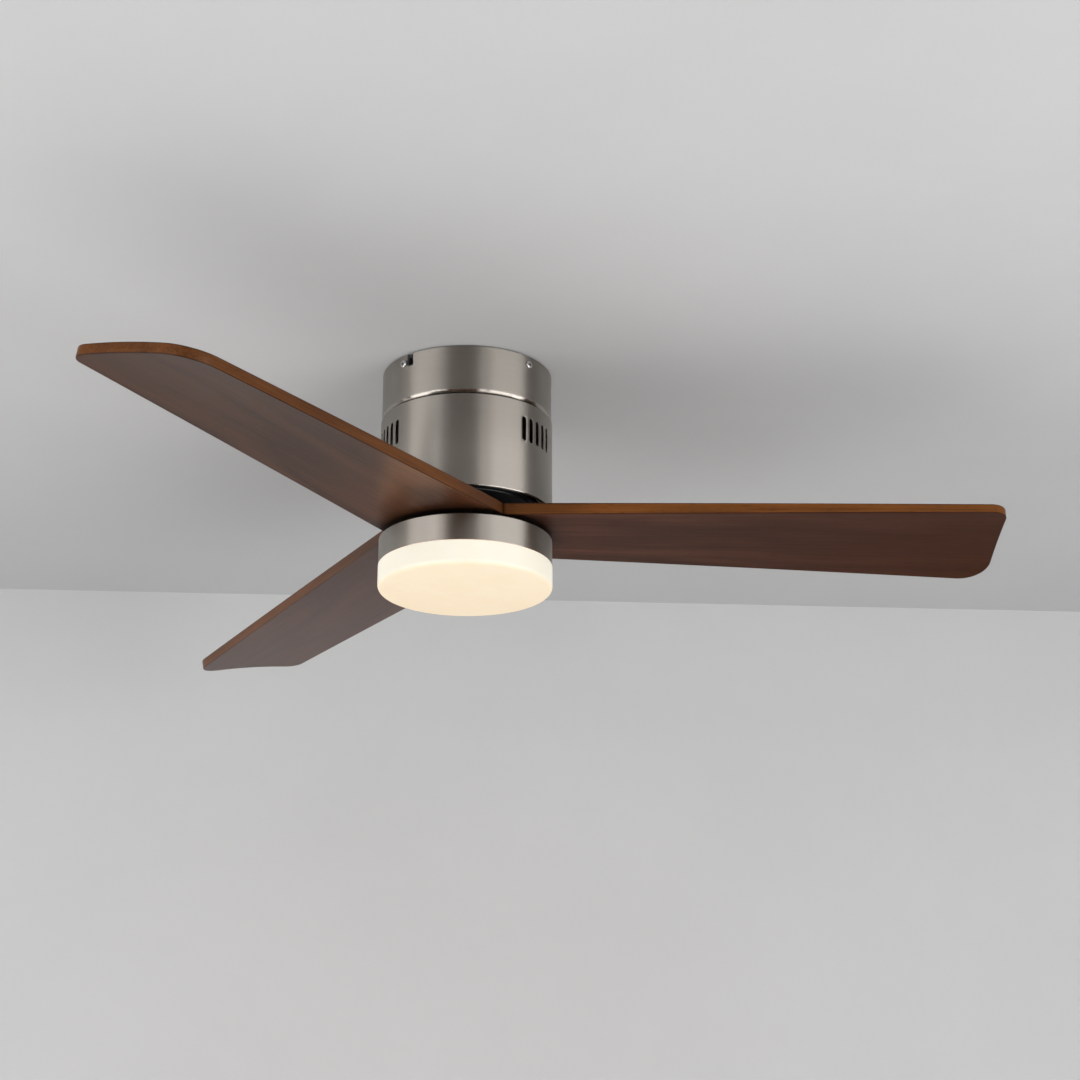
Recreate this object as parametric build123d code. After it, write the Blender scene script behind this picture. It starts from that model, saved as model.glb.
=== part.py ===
from build123d import *
import os
from math import cos, pi, radians, sin, tan

# A flush-mount three-blade ceiling fan with a round light under it, in millimetres.
# Origin: centre of the bracket's upper face, which lies on the ceiling. +Z is up, Z is the fan's axis.
# The camera side of the fan faces -Y. Everything hangs below z = 0.

# ---------------------------------------------------------------- driving sizes
# Clearances
fit_gap = 0.03                  # radial gap of a shaft or ring in its seat
thread_gap = 0.05               # radial gap between a screw and its threaded hole
hole_gap = 0.3                  # radial gap between a screw and its clearance hole
air_gap = 0.4                   # between the stator teeth and the rotor

# Screws: shank radius
m3 = 1.5
m4 = 2.0
m5 = 2.5

# The drum: every round band takes its radius from the motor housing's
housing_radius = 107.5
canopy_inset = 1.0              # canopy inside the housing's radius
light_inset = 0.2               # light housing inside the housing's radius
diffuser_overhang = 0.3         # diffuser outside the light housing's radius

# Ceiling bracket
bracket_inset = 13.0            # plate's edge inside the canopy's wall
bracket_thickness = 2.5
wire_hole_radius = 28.0
ear_width = 10.0
ear_drop = 20.0
ear_thickness = 2.5
box_slot_centre = 39.7          # from the axis; spans boxes with screws 69.9 to 88.9 mm apart
box_slot_length = 15.0
box_slot_radius = 2.75
anchor_circle_radius = 75.0
anchor_hole_radius = 3.5

# Canopy
canopy_height = 63.2
canopy_wall = 1.2
canopy_edge_radius = 8.5
canopy_ceiling_gap = 1.1
notch_screw_angle = 42.7        # first of two opposite screws in notches
plain_screw_angle = 135.2       # first of two opposite screws in plain holes
canopy_screw_depth = 10.9       # below the canopy's rim
canopy_screw_length = 11.0
canopy_screw_head = 4.8
notch_width = 5.0
notch_leg_width = 9.4
notch_leg_depth = 15.8          # below the canopy's rim
notch_leg_turn = 5.8            # degrees from the screw to the middle of the leg

# Motor housing
housing_height = 119.3
housing_wall = 1.2
lip_radius = 1.6
lip_inset = 3.2
vent_groups = 3
vents_per_group = 5
vent_first_group = -36.0        # degrees from +X to the middle of the first group
vent_pitch = 6.55               # degrees
vent_width = 6.8
vent_length = 31.8
vent_middle_depth = 35.0        # below the housing's top

# Hanger plate and yoke
hanger_radius = 45.0
hanger_thickness = 4.0
hanger_hole_radius = 16.0
hanger_screw_circle_radius = 30.0
hanger_screw_count = 4
hanger_screw_length = 18.0
washer_thickness = 1.2
washer_radius = 4.6
yoke_flange_radius = 38.0
yoke_flange_thickness = 6.0
yoke_neck_radius = 16.0
yoke_to_rotor_gap = 3.0
yoke_rib_thickness = 4.0
shaft_bolt_radius = 3.0
shaft_bolt_height = 12.0        # above the yoke's lower end
shaft_bolt_across = 10.0
shaft_bolt_head = 4.0

# Hollow shaft
shaft_radius = 8.5
shaft_bore_radius = 5.0
shaft_thread_radius = 8.0
shaft_thread_length = 26.0
shaft_above_yoke = 3.0

# Bearings, 17 x 40 x 12
bearing_outer_radius = 20.0
bearing_width = 12.0
bearing_pitch_radius = 14.25
ball_radius = 3.37
ball_count = 8
groove_gap = 0.08
inner_shoulder_radius = 12.0
outer_shoulder_radius = 16.5
cage_inner_radius = 13.1
cage_outer_radius = 15.4
cage_height = 8.6
retaining_ring_thickness = 1.2
retaining_ring_radius = 10.5
retaining_groove_depth = 0.6
spacer_radius = 11.5

# Stator
stack_height = 20.0
stack_to_bearing = 10.0
stator_bore_radius = 23.0
hub_hole_radius = 3.15
hub_hole_count = 6
stator_core_radius = 40.0
tooth_count = 16
tooth_width = 7.0
tooth_tip_height = 3.5
tooth_gap = 2.6
coil_side = 3.4
coil_root_gap = 2.0             # from the core to the coil
coil_tip_gap = 2.0              # from the coil to the tooth tips
coil_gap = 0.3
coil_corner_radius = 2.0
former_wall = 3.6
former_height = 8.0

# Rotor: it fills the housing but for a side gap
motor_side_gap = 10.4           # from the rotor's lugs to the housing's wall
rotor_core_width = 11.6
rotor_bar_count = 32
rotor_bar_radius = 1.6
rotor_bar_inset = 3.4           # from the rotor's inner face to the middle of a bar
rotor_end_ring_height = 3.0
rotor_end_ring_width = 6.5
bell_wall = 4.0
bell_web = 5.0
bearing_lip = 2.0
bearing_boss_wall = 9.0
bell_bore_radius = 12.6
bell_window_count = 6
bell_window_width = 20.0
bell_window_length = 30.0
bell_window_circle_radius = 54.0
rotor_flange_width = 6.0        # beyond the bell's wall
rotor_flange_edge = 2.0
bead_inset = 2.0                # inside the bell's wall
bead_radius = 1.2
lug_radius = 6.0
lug_height = 6.0
rotor_screw_count = 6
rotor_screw_angle = 30.0
rotor_screw_head = 3.6
rotor_recess = 4.6              # from the housing's lip up to the rotor's underside

# Blades
blade_count = 3
blade_tip_radius = 660.0
blade_width = 159.9
blade_thickness = 15.4          # at the root
blade_tip_thickness = 12.0
blade_tip_pitch = 12.1          # degrees; the root is flat
blade_droop = 9.8               # fall of the tip below the root
blade_leading_corner = 20.0
blade_trailing_corner = 38.0
blade_rest_angle = -0.9         # degrees from +X to the first blade
blade_root_hole = 20.0
blade_stations = 7
blade_screw_inset = 12.0        # inside the carrier's rim
blade_screw_spread = 35.0       # degrees either side of the blade's middle
blade_screw_length = 22.0
blade_washer_radius = 6.0
blade_washer_thickness = 1.5
lip_to_blade_gap = 12.4
carrier_radius = 62.0
carrier_thickness = 8.0
carrier_neck_radius = 34.0
carrier_screw_circle_radius = 24.0
carrier_screw_count = 6
carrier_screw_length = 16.0

# Light kit
blade_to_light_gap = 7.2
light_height = 33.9
light_wall = 1.0
light_edge_radius = 1.5
nut_across_flats = 24.0
jam_nut_height = 8.0
light_nut_height = 7.0
light_washer_radius = 13.0
light_washer_thickness = 1.5
thread_end = 1.0                # shaft beyond the last nut
support_plate_radius = 60.0
support_plate_thickness = 2.5
support_screw_circle_radius = 38.0
support_screw_angle = 90.0
support_screw_count = 3
driver_length = 84.0
driver_width = 40.0
driver_height = 18.5
driver_offset = 44.0            # from the axis to the driver's middle, towards -Y
driver_corner_radius = 2.5
driver_to_board_gap = 2.4
board_radius = 88.0
board_thickness = 1.6
standoff_radius = 3.0
standoff_inset = 10.0           # inside the board's edge
standoff_count = 3
chip_side = 3.0
chip_height = 0.8
inner_chip_circle_radius = 40.0
inner_chip_count = 12
outer_chip_circle_radius = 70.0
outer_chip_count = 24
connector_length = 10.0
connector_width = 6.0
connector_height = 4.0
connector_x = 30.0
connector_y = 20.0

# Diffuser and its bayonet
diffuser_gap = 0.3
diffuser_height = 30.1
diffuser_wall = 2.0
diffuser_corner_radius = 5.7
shelf_height = 8.5              # shelf top above the light housing's lower edge
shelf_thickness = 1.2
shelf_neck_gap = 0.7
shelf_arc = 20.0
lug_arc = 14.0
bayonet_count = 3
bayonet_lug_height = 2.5
bayonet_lug_reach = 3.2
bayonet_lug_gap = 0.15
bayonet_side_gap = 0.5
bayonet_first_angle = 90.0
stop_arc = 1.5
lock_ring_wall = 1.0
lock_ring_height = 8.5

# Electrical pieces in the canopy
receiver_length = 90.0
receiver_width = 40.0
receiver_height = 28.0
receiver_corner_radius = 3.0
receiver_from_hanger = 3.0
terminal_length = 32.0
terminal_width = 18.0
terminal_height = 14.0
terminal_poles = 3
terminal_y = -44.0
earth_screw_x = 44.0
earth_screw_y = 44.0
lead_radius = 2.5
lead_upper_bend = 21.0
lead_lower_bend = 10.0
lead_height_in_receiver = 17.0  # above the canopy's floor
lead_below_shaft = 4.4

# ---------------------------------------------------------------- levels, from the ceiling down
canopy_rim_z = -canopy_ceiling_gap
canopy_under_z = canopy_rim_z - canopy_height
canopy_floor_z = canopy_under_z + canopy_wall
canopy_screw_z = canopy_rim_z - canopy_screw_depth
hanger_top_z = canopy_floor_z + hanger_thickness
housing_top_z = canopy_under_z
housing_roof_z = housing_top_z - housing_wall
housing_lip_z = housing_top_z - housing_height
blade_top_z = housing_lip_z - lip_to_blade_gap
blade_low_z = blade_top_z - blade_thickness
light_top_z = blade_low_z - blade_to_light_gap
light_roof_z = light_top_z - light_wall
light_low_z = light_top_z - light_height
diffuser_top_z = light_low_z - diffuser_gap
diffuser_low_z = diffuser_top_z - diffuser_height

rotor_face_z = housing_lip_z + rotor_recess
half_motor = stack_height / 2 + stack_to_bearing + bearing_width + bearing_lip + bell_web
motor_middle_z = rotor_face_z + half_motor
rotor_top_z = motor_middle_z + half_motor
stack_top_z = motor_middle_z + stack_height / 2
stack_low_z = motor_middle_z - stack_height / 2
upper_bearing_z = stack_top_z + stack_to_bearing + bearing_width / 2
lower_bearing_z = stack_low_z - stack_to_bearing - bearing_width / 2
yoke_low_z = rotor_top_z + yoke_to_rotor_gap
yoke_flange_low_z = housing_roof_z - yoke_flange_thickness
shaft_bolt_z = yoke_low_z + shaft_bolt_height
shaft_top_z = housing_roof_z + shaft_above_yoke

support_low_z = light_roof_z - support_plate_thickness
washer_low_z = support_low_z - light_washer_thickness
light_nut_low_z = washer_low_z - light_nut_height
shaft_low_z = light_nut_low_z - thread_end
driver_low_z = support_low_z - driver_height
board_top_z = driver_low_z - driver_to_board_gap
board_low_z = board_top_z - board_thickness
shelf_top_z = light_low_z + shelf_height
shelf_low_z = shelf_top_z - shelf_thickness

# ---------------------------------------------------------------- radii that follow from others
canopy_radius = housing_radius - canopy_inset
canopy_inner_radius = canopy_radius - canopy_wall
bracket_radius = canopy_inner_radius - bracket_inset
housing_inner_radius = housing_radius - housing_wall

lug_outer_radius = housing_inner_radius - motor_side_gap
lug_circle_radius = lug_outer_radius - lug_radius
bell_radius = lug_circle_radius - rotor_screw_head - hole_gap
rotor_core_radius = bell_radius - bell_wall
rotor_inner_radius = rotor_core_radius - rotor_core_width
stator_radius = rotor_inner_radius - air_gap
tooth_tip_radius = stator_radius - tooth_tip_height
rotor_flange_radius = bell_radius + rotor_flange_width
blade_screw_circle_radius = carrier_radius - blade_screw_inset

light_radius = housing_radius - light_inset
light_inner_radius = light_radius - light_wall
diffuser_radius = light_radius + diffuser_overhang
lock_ring_inner_radius = light_inner_radius - fit_gap - lock_ring_wall
bayonet_lug_radius = lock_ring_inner_radius - bayonet_side_gap
neck_radius = bayonet_lug_radius - bayonet_lug_reach
shelf_inner_radius = neck_radius + shelf_neck_gap
standoff_circle_radius = board_radius - standoff_inset


# ---------------------------------------------------------------- helpers
def disc(radius, high, low):
    """A round plate on the fan's axis between two levels."""
    return Pos(0, 0, low) * Cylinder(radius, high - low, align=(Align.CENTER, Align.CENTER, Align.MIN))


def ring(outer, inner, high, low):
    """A round plate with a round hole."""
    return disc(outer, high, low) - disc(inner, high + 1, low - 1)


def rod(radius, x, y, high, low):
    """An upright cylinder beside the axis."""
    return Pos(x, y, 0) * disc(radius, high, low)


def block(length, width, x, y, high, low):
    """An upright box centred on x, y between two levels."""
    return Pos(x, y, (high + low) / 2) * Box(length, width, high - low)


def polar(radius, angle):
    """A point on a circle round the axis."""
    return radius * cos(radians(angle)), radius * sin(radians(angle))


def spread(count, first=0.0):
    """Angles of equally spaced places round the axis, in degrees."""
    return [first + 360.0 * index / count for index in range(count)]


def turned(shape, angles):
    """Copies of a shape turned round the axis."""
    return [Rot(0, 0, angle) * shape for angle in angles]


def sector(outer, inner, middle, arc, high, low):
    """A piece of a ring, arc degrees long, centred on the angle middle."""
    reach = 2 * outer
    half = arc / 2
    wedge = Polygon((0, 0), polar(reach, -half), polar(reach, half), align=None)
    solid = Pos(0, 0, low) * extrude(wedge, high - low)
    return Rot(0, 0, middle) * (ring(outer, inner, high, low) & solid)


def holes(body, radius, circle, angles, high, low):
    """Cut upright round holes on a circle."""
    for angle in angles:
        x, y = polar(circle, angle)
        body -= rod(radius, x, y, high, low)
    return body


def pan_screw(shank, length, head, height):
    """A cross-recess screw: head above z = 0, shank below."""
    screw = disc(head, height, 0)
    screw = fillet(screw.edges().group_by(Axis.Z)[-1], height * 0.6)
    screw += disc(shank, 0, -length)
    slot = Box(head * 1.1, head * 0.24, height)
    recess = Pos(0, 0, height) * (slot + Rot(0, 0, 90) * slot)
    return screw - recess


def hex_screw(shank, length, across, height):
    """A hexagon-head screw: head above z = 0, shank below."""
    head = extrude(RegularPolygon(across / 2, 6, major_radius=False), height)
    return head + disc(shank, 0, -length)


def placed(shape, x, y, z):
    """A shape moved to a place, still upright."""
    return Pos(x, y, z) * shape


def save(name, *shapes):
    """Write one node's solids as a STEP file."""
    solids = [solid for shape in shapes for solid in shape.solids()]
    export_step(solids[0] if len(solids) == 1 else Compound(solids), f"parts/{name}.step")


# ---------------------------------------------------------------- ceiling bracket and canopy
def canopy_screw_angles():
    """Where the four screws that hold the canopy stand."""
    return spread(2, notch_screw_angle) + spread(2, plain_screw_angle)


def make_bracket():
    """Round plate with four arms that end in turned-down ears."""
    ear_outer = canopy_inner_radius - hole_gap
    ear_inner = ear_outer - ear_thickness
    arc = 2 * ear_width / ear_outer * 90 / pi
    plate = disc(bracket_radius, 0, -bracket_thickness)
    for angle in canopy_screw_angles():
        plate += sector(ear_outer, bracket_radius - ear_thickness, angle, arc, 0, -bracket_thickness)
        plate += sector(ear_outer, ear_inner, angle, arc, 0, -ear_drop)
    plate -= disc(wire_hole_radius, 1, -bracket_thickness - 1)
    slot = extrude(SlotOverall(box_slot_length, 2 * box_slot_radius), 2 * bracket_thickness)
    for side in (-1, 1):
        plate -= placed(slot, side * box_slot_centre, 0, -1.5 * bracket_thickness)
    plate = holes(plate, anchor_hole_radius, anchor_circle_radius, spread(4), 1, -bracket_thickness - 1)
    plate -= rod(m4 + thread_gap, earth_screw_x, earth_screw_y, 1, -bracket_thickness - 1)
    reach = disc(m4 + thread_gap, canopy_radius, ear_inner - ear_thickness)
    reach = Pos(0, 0, canopy_screw_z) * Rot(0, 90, 0) * reach
    for cut in turned(reach, canopy_screw_angles()):
        plate -= cut
    return plate


def make_earth_screw():
    """Screw that takes the earth wire, head down under the bracket."""
    screw = Rot(180, 0, 0) * pan_screw(m4, bracket_thickness, 2 * m4, m4)
    return placed(screw, earth_screw_x, earth_screw_y, -bracket_thickness)


def make_terminal_block():
    """Screw terminals under the bracket, open at both ends of each pole."""
    low = -bracket_thickness - terminal_height
    body = block(terminal_length, terminal_width, 0, terminal_y, -bracket_thickness, low)
    pitch = terminal_length / terminal_poles
    for pole in range(terminal_poles):
        x = (pole - (terminal_poles - 1) / 2) * pitch
        tunnel = Rot(90, 0, 0) * Cylinder(pitch / 4, 2 * terminal_width)
        body -= placed(tunnel, x, terminal_y, (low - bracket_thickness) / 2)
        body -= rod(pitch / 5, x, terminal_y, low + terminal_height / 3, low - 1)
    return body


def canopy_holes(body):
    """Two plain holes and two L-shaped notches that open at the rim."""
    plain = Pos(0, 0, canopy_screw_z) * Rot(0, 90, 0)
    plain = plain * disc(m4 + hole_gap, canopy_radius + 1, canopy_radius / 2)
    for cut in turned(plain, spread(2, plain_screw_angle)):
        body -= cut
    half = notch_width / 2
    run = canopy_radius * sin(radians(notch_leg_turn))
    leg_low = canopy_rim_z - notch_leg_depth
    deep = canopy_radius / 2
    leg = Pos(0, 0, leg_low / 2) * Box(deep, notch_leg_width, -leg_low)
    leg = Pos(canopy_radius, 0, 0) * leg
    leg = Rot(0, 0, notch_leg_turn) * leg
    foot = Pos(canopy_radius, run / 2, canopy_screw_z) * Box(deep, run, notch_width)
    end = Pos(0, 0, canopy_screw_z) * Rot(0, 90, 0) * disc(half, canopy_radius + 1, canopy_radius / 2)
    for cut in turned(leg + foot + end, spread(2, notch_screw_angle)):
        body -= cut
    return body


def make_canopy():
    """Deep cup with a rounded lower edge and a floor that carries the motor."""
    body = disc(canopy_radius, canopy_rim_z, canopy_under_z)
    body = fillet(body.edges().group_by(Axis.Z)[0], canopy_edge_radius)
    hollow = disc(canopy_inner_radius, canopy_rim_z + 1, canopy_floor_z)
    hollow = fillet(hollow.edges().group_by(Axis.Z)[0], canopy_edge_radius - canopy_wall)
    body -= hollow
    body -= disc(hanger_hole_radius, canopy_floor_z + 1, canopy_under_z - 1)
    angles = spread(hanger_screw_count)
    circle = hanger_screw_circle_radius
    body = holes(body, m5 + hole_gap, circle, angles, canopy_floor_z + 1, canopy_under_z - 1)
    return canopy_holes(body)


def make_canopy_screws():
    """Four screws through the canopy's side into the bracket's ears."""
    screw = Rot(0, 90, 0) * pan_screw(m4, canopy_screw_length, canopy_screw_head, 1.3 * m4)
    seat = Pos(canopy_radius + fit_gap, 0, canopy_screw_z) * screw
    return turned(seat, canopy_screw_angles())


def make_receiver():
    """Control receiver, a box that stands on the canopy's floor."""
    y = hanger_radius + receiver_from_hanger + receiver_width / 2
    top = canopy_floor_z + receiver_height
    body = block(receiver_length, receiver_width, 0, y, top, canopy_floor_z)
    return fillet(body.edges().filter_by(Axis.Z), receiver_corner_radius)


def make_housing():
    """Drum that opens downwards with a rolled lip and groups of vents."""
    body = disc(housing_radius, housing_top_z, housing_lip_z)
    body = fillet(body.edges().group_by(Axis.Z)[0], lip_radius)
    body -= disc(housing_inner_radius, housing_roof_z, housing_lip_z + lip_radius)
    body -= disc(housing_radius - lip_inset, housing_lip_z + 2 * lip_radius, housing_lip_z - 1)
    body -= disc(hanger_hole_radius, housing_top_z + 1, housing_roof_z - 1)
    angles = spread(hanger_screw_count)
    circle = hanger_screw_circle_radius
    body = holes(body, m5 + hole_gap, circle, angles, housing_top_z + 1, housing_roof_z - 1)
    slot = extrude(Plane.YZ * SlotOverall(vent_length, vent_width, rotation=90), 4 * housing_wall)
    slot = Pos(housing_radius - 3 * housing_wall, 0, housing_top_z - vent_middle_depth) * slot
    for group in spread(vent_groups, vent_first_group):
        for index in range(vents_per_group):
            offset = (index - (vents_per_group - 1) / 2) * vent_pitch
            body -= Rot(0, 0, group + offset) * slot
    return body


# ---------------------------------------------------------------- hanger, yoke and shaft
def make_hanger_plate():
    """Steel disc inside the canopy that spreads the clamping load."""
    plate = ring(hanger_radius, hanger_hole_radius, hanger_top_z, canopy_floor_z)
    angles = spread(hanger_screw_count)
    circle = hanger_screw_circle_radius
    return holes(plate, m5 + hole_gap, circle, angles, hanger_top_z + 1, canopy_floor_z - 1)


def make_hanger_washers():
    """Spring washers under the hanger screws' heads."""
    washer = ring(washer_radius, m5 + hole_gap, washer_thickness, 0)
    places = [polar(hanger_screw_circle_radius, angle) for angle in spread(hanger_screw_count)]
    return [placed(washer, x, y, hanger_top_z) for x, y in places]


def make_hanger_screws():
    """Hexagon screws down through plate, canopy and housing into the yoke."""
    screw = hex_screw(m5, hanger_screw_length, 3.2 * m5, 1.4 * m5)
    places = [polar(hanger_screw_circle_radius, angle) for angle in spread(hanger_screw_count)]
    return [placed(screw, x, y, hanger_top_z + washer_thickness) for x, y in places]


def make_yoke():
    """Cast flange with a ribbed neck that holds the shaft's upper end."""
    yoke = disc(yoke_flange_radius, housing_roof_z, yoke_flange_low_z)
    yoke += disc(yoke_neck_radius, yoke_flange_low_z, yoke_low_z)
    rib_low = (yoke_flange_low_z + shaft_bolt_z) / 2
    outline = Polygon(
        (0, yoke_flange_low_z),
        (yoke_flange_radius - yoke_rib_thickness, yoke_flange_low_z),
        (yoke_neck_radius, rib_low),
        (0, rib_low),
        align=None,
    )
    rib = Pos(0, yoke_rib_thickness / 2, 0) * extrude(Plane.XZ * outline, yoke_rib_thickness)
    for copy in turned(rib, spread(hanger_screw_count, 180 / hanger_screw_count)):
        yoke += copy
    yoke -= disc(shaft_radius + fit_gap, housing_roof_z + 1, yoke_low_z - 1)
    angles = spread(hanger_screw_count)
    circle = hanger_screw_circle_radius
    yoke = holes(yoke, m5 + thread_gap, circle, angles, housing_roof_z + 1, yoke_flange_low_z - 1)
    cross = Rot(0, 90, 0) * Cylinder(shaft_bolt_radius + thread_gap, 4 * yoke_neck_radius)
    return yoke - Pos(0, 0, shaft_bolt_z) * cross


def make_shaft():
    """Hollow shaft with a cross hole, two ring grooves and a threaded lower end."""
    thread_z = shaft_low_z + shaft_thread_length
    shaft = disc(shaft_radius, shaft_top_z, thread_z) + disc(shaft_thread_radius, thread_z, shaft_low_z)
    shaft -= disc(shaft_bore_radius, shaft_top_z + 1, shaft_low_z - 1)
    cross = Rot(0, 90, 0) * Cylinder(shaft_bolt_radius + thread_gap, 4 * shaft_radius)
    shaft -= Pos(0, 0, shaft_bolt_z) * cross
    for high in retaining_levels():
        low = high - retaining_ring_thickness
        shaft -= ring(shaft_radius + 1, shaft_radius - retaining_groove_depth, high, low)
    return shaft


def retaining_levels():
    """Upper face of each retaining ring: one above the upper bearing, one below the lower."""
    above = upper_bearing_z + bearing_width / 2 + retaining_ring_thickness
    below = lower_bearing_z - bearing_width / 2
    return above, below


def make_retaining_rings():
    """Open spring rings that keep the bearings on the shaft."""
    rings = []
    for high in retaining_levels():
        low = high - retaining_ring_thickness
        inner = shaft_radius - retaining_groove_depth + fit_gap
        body = ring(retaining_ring_radius, inner, high, low)
        mouth = block(retaining_ring_radius, shaft_radius, retaining_ring_radius, 0, high + 1, low - 1)
        rings.append(body - mouth)
    return rings


def make_shaft_bolts():
    """Two hexagon bolts through the yoke's neck into the shaft's wall, one each side."""
    length = yoke_neck_radius - shaft_bore_radius
    bolt = Rot(0, 90, 0) * hex_screw(shaft_bolt_radius, length, shaft_bolt_across, shaft_bolt_head)
    return turned(Pos(yoke_neck_radius, 0, shaft_bolt_z) * bolt, (0, 180))


# ---------------------------------------------------------------- bearings
def make_bearing(middle):
    """Deep-groove ball bearing: inner ring, outer ring, balls and cage."""
    high = middle + bearing_width / 2
    low = middle - bearing_width / 2
    groove = Pos(0, 0, middle) * Torus(bearing_pitch_radius, ball_radius + groove_gap)
    inner = ring(inner_shoulder_radius, shaft_radius + fit_gap, high, low) - groove
    outer = ring(bearing_outer_radius, outer_shoulder_radius, high, low) - groove
    cage = ring(cage_outer_radius, cage_inner_radius, middle + cage_height / 2, middle - cage_height / 2)
    balls = []
    for angle in spread(ball_count):
        x, y = polar(bearing_pitch_radius, angle)
        balls.append(placed(Sphere(ball_radius), x, y, middle))
        pocket = Rot(0, 90, 0) * disc(ball_radius + groove_gap, bearing_outer_radius, shaft_radius)
        cage -= Pos(0, 0, middle) * Rot(0, 0, angle) * pocket
    return inner, outer, balls, cage


def make_bearing_spacers():
    """Sleeves on the shaft between each bearing and the stator hub."""
    bore = shaft_radius + fit_gap
    upper = ring(spacer_radius, bore, stack_top_z + stack_to_bearing, stack_top_z)
    lower = ring(spacer_radius, bore, stack_low_z, stack_low_z - stack_to_bearing)
    return upper, lower


# ---------------------------------------------------------------- stator
def make_stator_hub():
    """Cast hub between the shaft and the lamination stack."""
    hub = ring(stator_bore_radius - fit_gap, shaft_radius + fit_gap, stack_top_z, stack_low_z)
    middle = (stator_bore_radius + shaft_radius) / 2
    angles = spread(hub_hole_count)
    return holes(hub, hub_hole_radius, middle, angles, stack_top_z + 1, stack_low_z - 1)


def make_stator_core():
    """Lamination stack with teeth that end in wide tips: one flat outline, extruded."""
    half_turn = 180.0 / tooth_count
    outline = Circle(stator_radius) - Circle(tooth_tip_radius)
    for angle in spread(tooth_count, half_turn):
        gap = Pos(stator_radius, 0) * Rectangle(3 * tooth_tip_height, tooth_gap)
        outline -= Rot(0, 0, angle) * gap
    outline += Circle(stator_core_radius)
    for angle in spread(tooth_count):
        length = tooth_tip_radius + tooth_tip_height / 2
        tooth = Rectangle(length, tooth_width, align=(Align.MIN, Align.CENTER))
        outline += Rot(0, 0, angle) * tooth
    outline -= Circle(stator_bore_radius)
    return Pos(0, 0, stack_low_z) * extrude(outline, stack_height)


def make_stator_windings():
    """One coil round each tooth."""
    start = stator_core_radius + coil_root_gap
    length = tooth_tip_radius - coil_tip_gap - start
    x = start + length / 2
    inner_width = tooth_width + 2 * coil_gap
    high = stack_top_z + coil_gap
    low = stack_low_z - coil_gap
    coil = block(length, inner_width + 2 * coil_side, x, 0, high + coil_side * 1.8, low - coil_side * 1.8)
    coil = fillet(coil.edges().filter_by(Axis.X), coil_corner_radius)
    coil -= block(length + 2, inner_width, x, 0, high, low)
    return turned(coil, spread(tooth_count))


def make_insulator(high, low):
    """Moulded wall that keeps the coil heads off the core."""
    return ring(stator_core_radius, stator_core_radius - former_wall, high, low)


# ---------------------------------------------------------------- rotor
def bar_places():
    """Where the rotor's bars stand."""
    circle = rotor_inner_radius + rotor_bar_inset
    return [polar(circle, angle) for angle in spread(rotor_bar_count)]


def make_rotor_core():
    """Ring of laminations with a hole for each bar."""
    core = ring(rotor_core_radius, rotor_inner_radius, stack_top_z, stack_low_z)
    for x, y in bar_places():
        core -= rod(rotor_bar_radius + fit_gap, x, y, stack_top_z + 1, stack_low_z - 1)
    return core


def make_rotor_bars():
    """Aluminium cage: bars joined by an end ring above and below."""
    inner = rotor_inner_radius + fit_gap
    outer = inner + rotor_end_ring_width
    cage = ring(outer, inner, stack_top_z + rotor_end_ring_height, stack_top_z)
    cage += ring(outer, inner, stack_low_z, stack_low_z - rotor_end_ring_height)
    for x, y in bar_places():
        cage += rod(rotor_bar_radius, x, y, stack_top_z, stack_low_z)
    return cage


def rotor_screw_angles():
    """Where the lugs and screws that join the bells stand."""
    return spread(rotor_screw_count, rotor_screw_angle)


def bell_blank():
    """Cup that opens downwards at z = 0, with a bearing seat; its closed end is half_motor high."""
    seat_top = half_motor - bell_web - bearing_lip
    boss_radius = bearing_outer_radius + bearing_boss_wall
    bell = disc(bell_radius, half_motor, 0)
    bell -= disc(rotor_core_radius + fit_gap, half_motor - bell_web, -1)
    bell += disc(boss_radius, half_motor - bell_web, seat_top - bearing_width + 1)
    bell -= disc(bearing_outer_radius + fit_gap, seat_top, 0)
    bell -= disc(bell_bore_radius, half_motor + 1, 0)
    for angle in rotor_screw_angles():
        x, y = polar(lug_circle_radius, angle)
        lug = rod(lug_radius, x, y, lug_height, 0) - disc(rotor_core_radius + fit_gap, lug_height, 0)
        bell += lug
    return bell


def cut_lug_holes(bell, gap):
    """Screw holes through the lugs, clear or threaded."""
    return holes(bell, m4 + gap, lug_circle_radius, rotor_screw_angles(), lug_height + 1, -1)


def make_upper_bell():
    """Upper rotor bell with cooling windows in its web."""
    bell = cut_lug_holes(bell_blank(), thread_gap)
    window = SlotOverall(bell_window_length, bell_window_width)
    cut = extrude(window, 3 * bell_web)
    cut = placed(cut, bell_window_circle_radius, 0, half_motor - 2 * bell_web)
    for copy in turned(cut, spread(bell_window_count)):
        bell -= copy
    return Pos(0, 0, motor_middle_z) * bell


def make_lower_bell():
    """Lower rotor bell: a plain black underside with a raised bead and a wide flange."""
    bell = cut_lug_holes(bell_blank(), hole_gap)
    flange = ring(rotor_flange_radius, bell_radius - 1, half_motor, half_motor - bell_web)
    flange = fillet(flange.edges().group_by(Axis.Z)[-1].sort_by(SortBy.RADIUS)[-1], rotor_flange_edge)
    bell += flange
    bell += Pos(0, 0, half_motor) * Torus(bell_radius - bead_inset, bead_radius)
    angles = spread(carrier_screw_count)
    deep = half_motor - bell_web - bearing_lip - bearing_width / 2
    bell = holes(bell, m5 + thread_gap, carrier_screw_circle_radius, angles, half_motor + 1, deep)
    return Pos(0, 0, motor_middle_z) * Rot(180, 0, 0) * bell


def make_rotor_screws():
    """Screws that clamp the two bells, heads below."""
    screw = Rot(180, 0, 0) * pan_screw(m4, 2 * lug_height - 1, rotor_screw_head, 1.2 * m4)
    places = [polar(lug_circle_radius, angle) for angle in rotor_screw_angles()]
    return [placed(screw, x, y, motor_middle_z - lug_height) for x, y in places]


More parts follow.
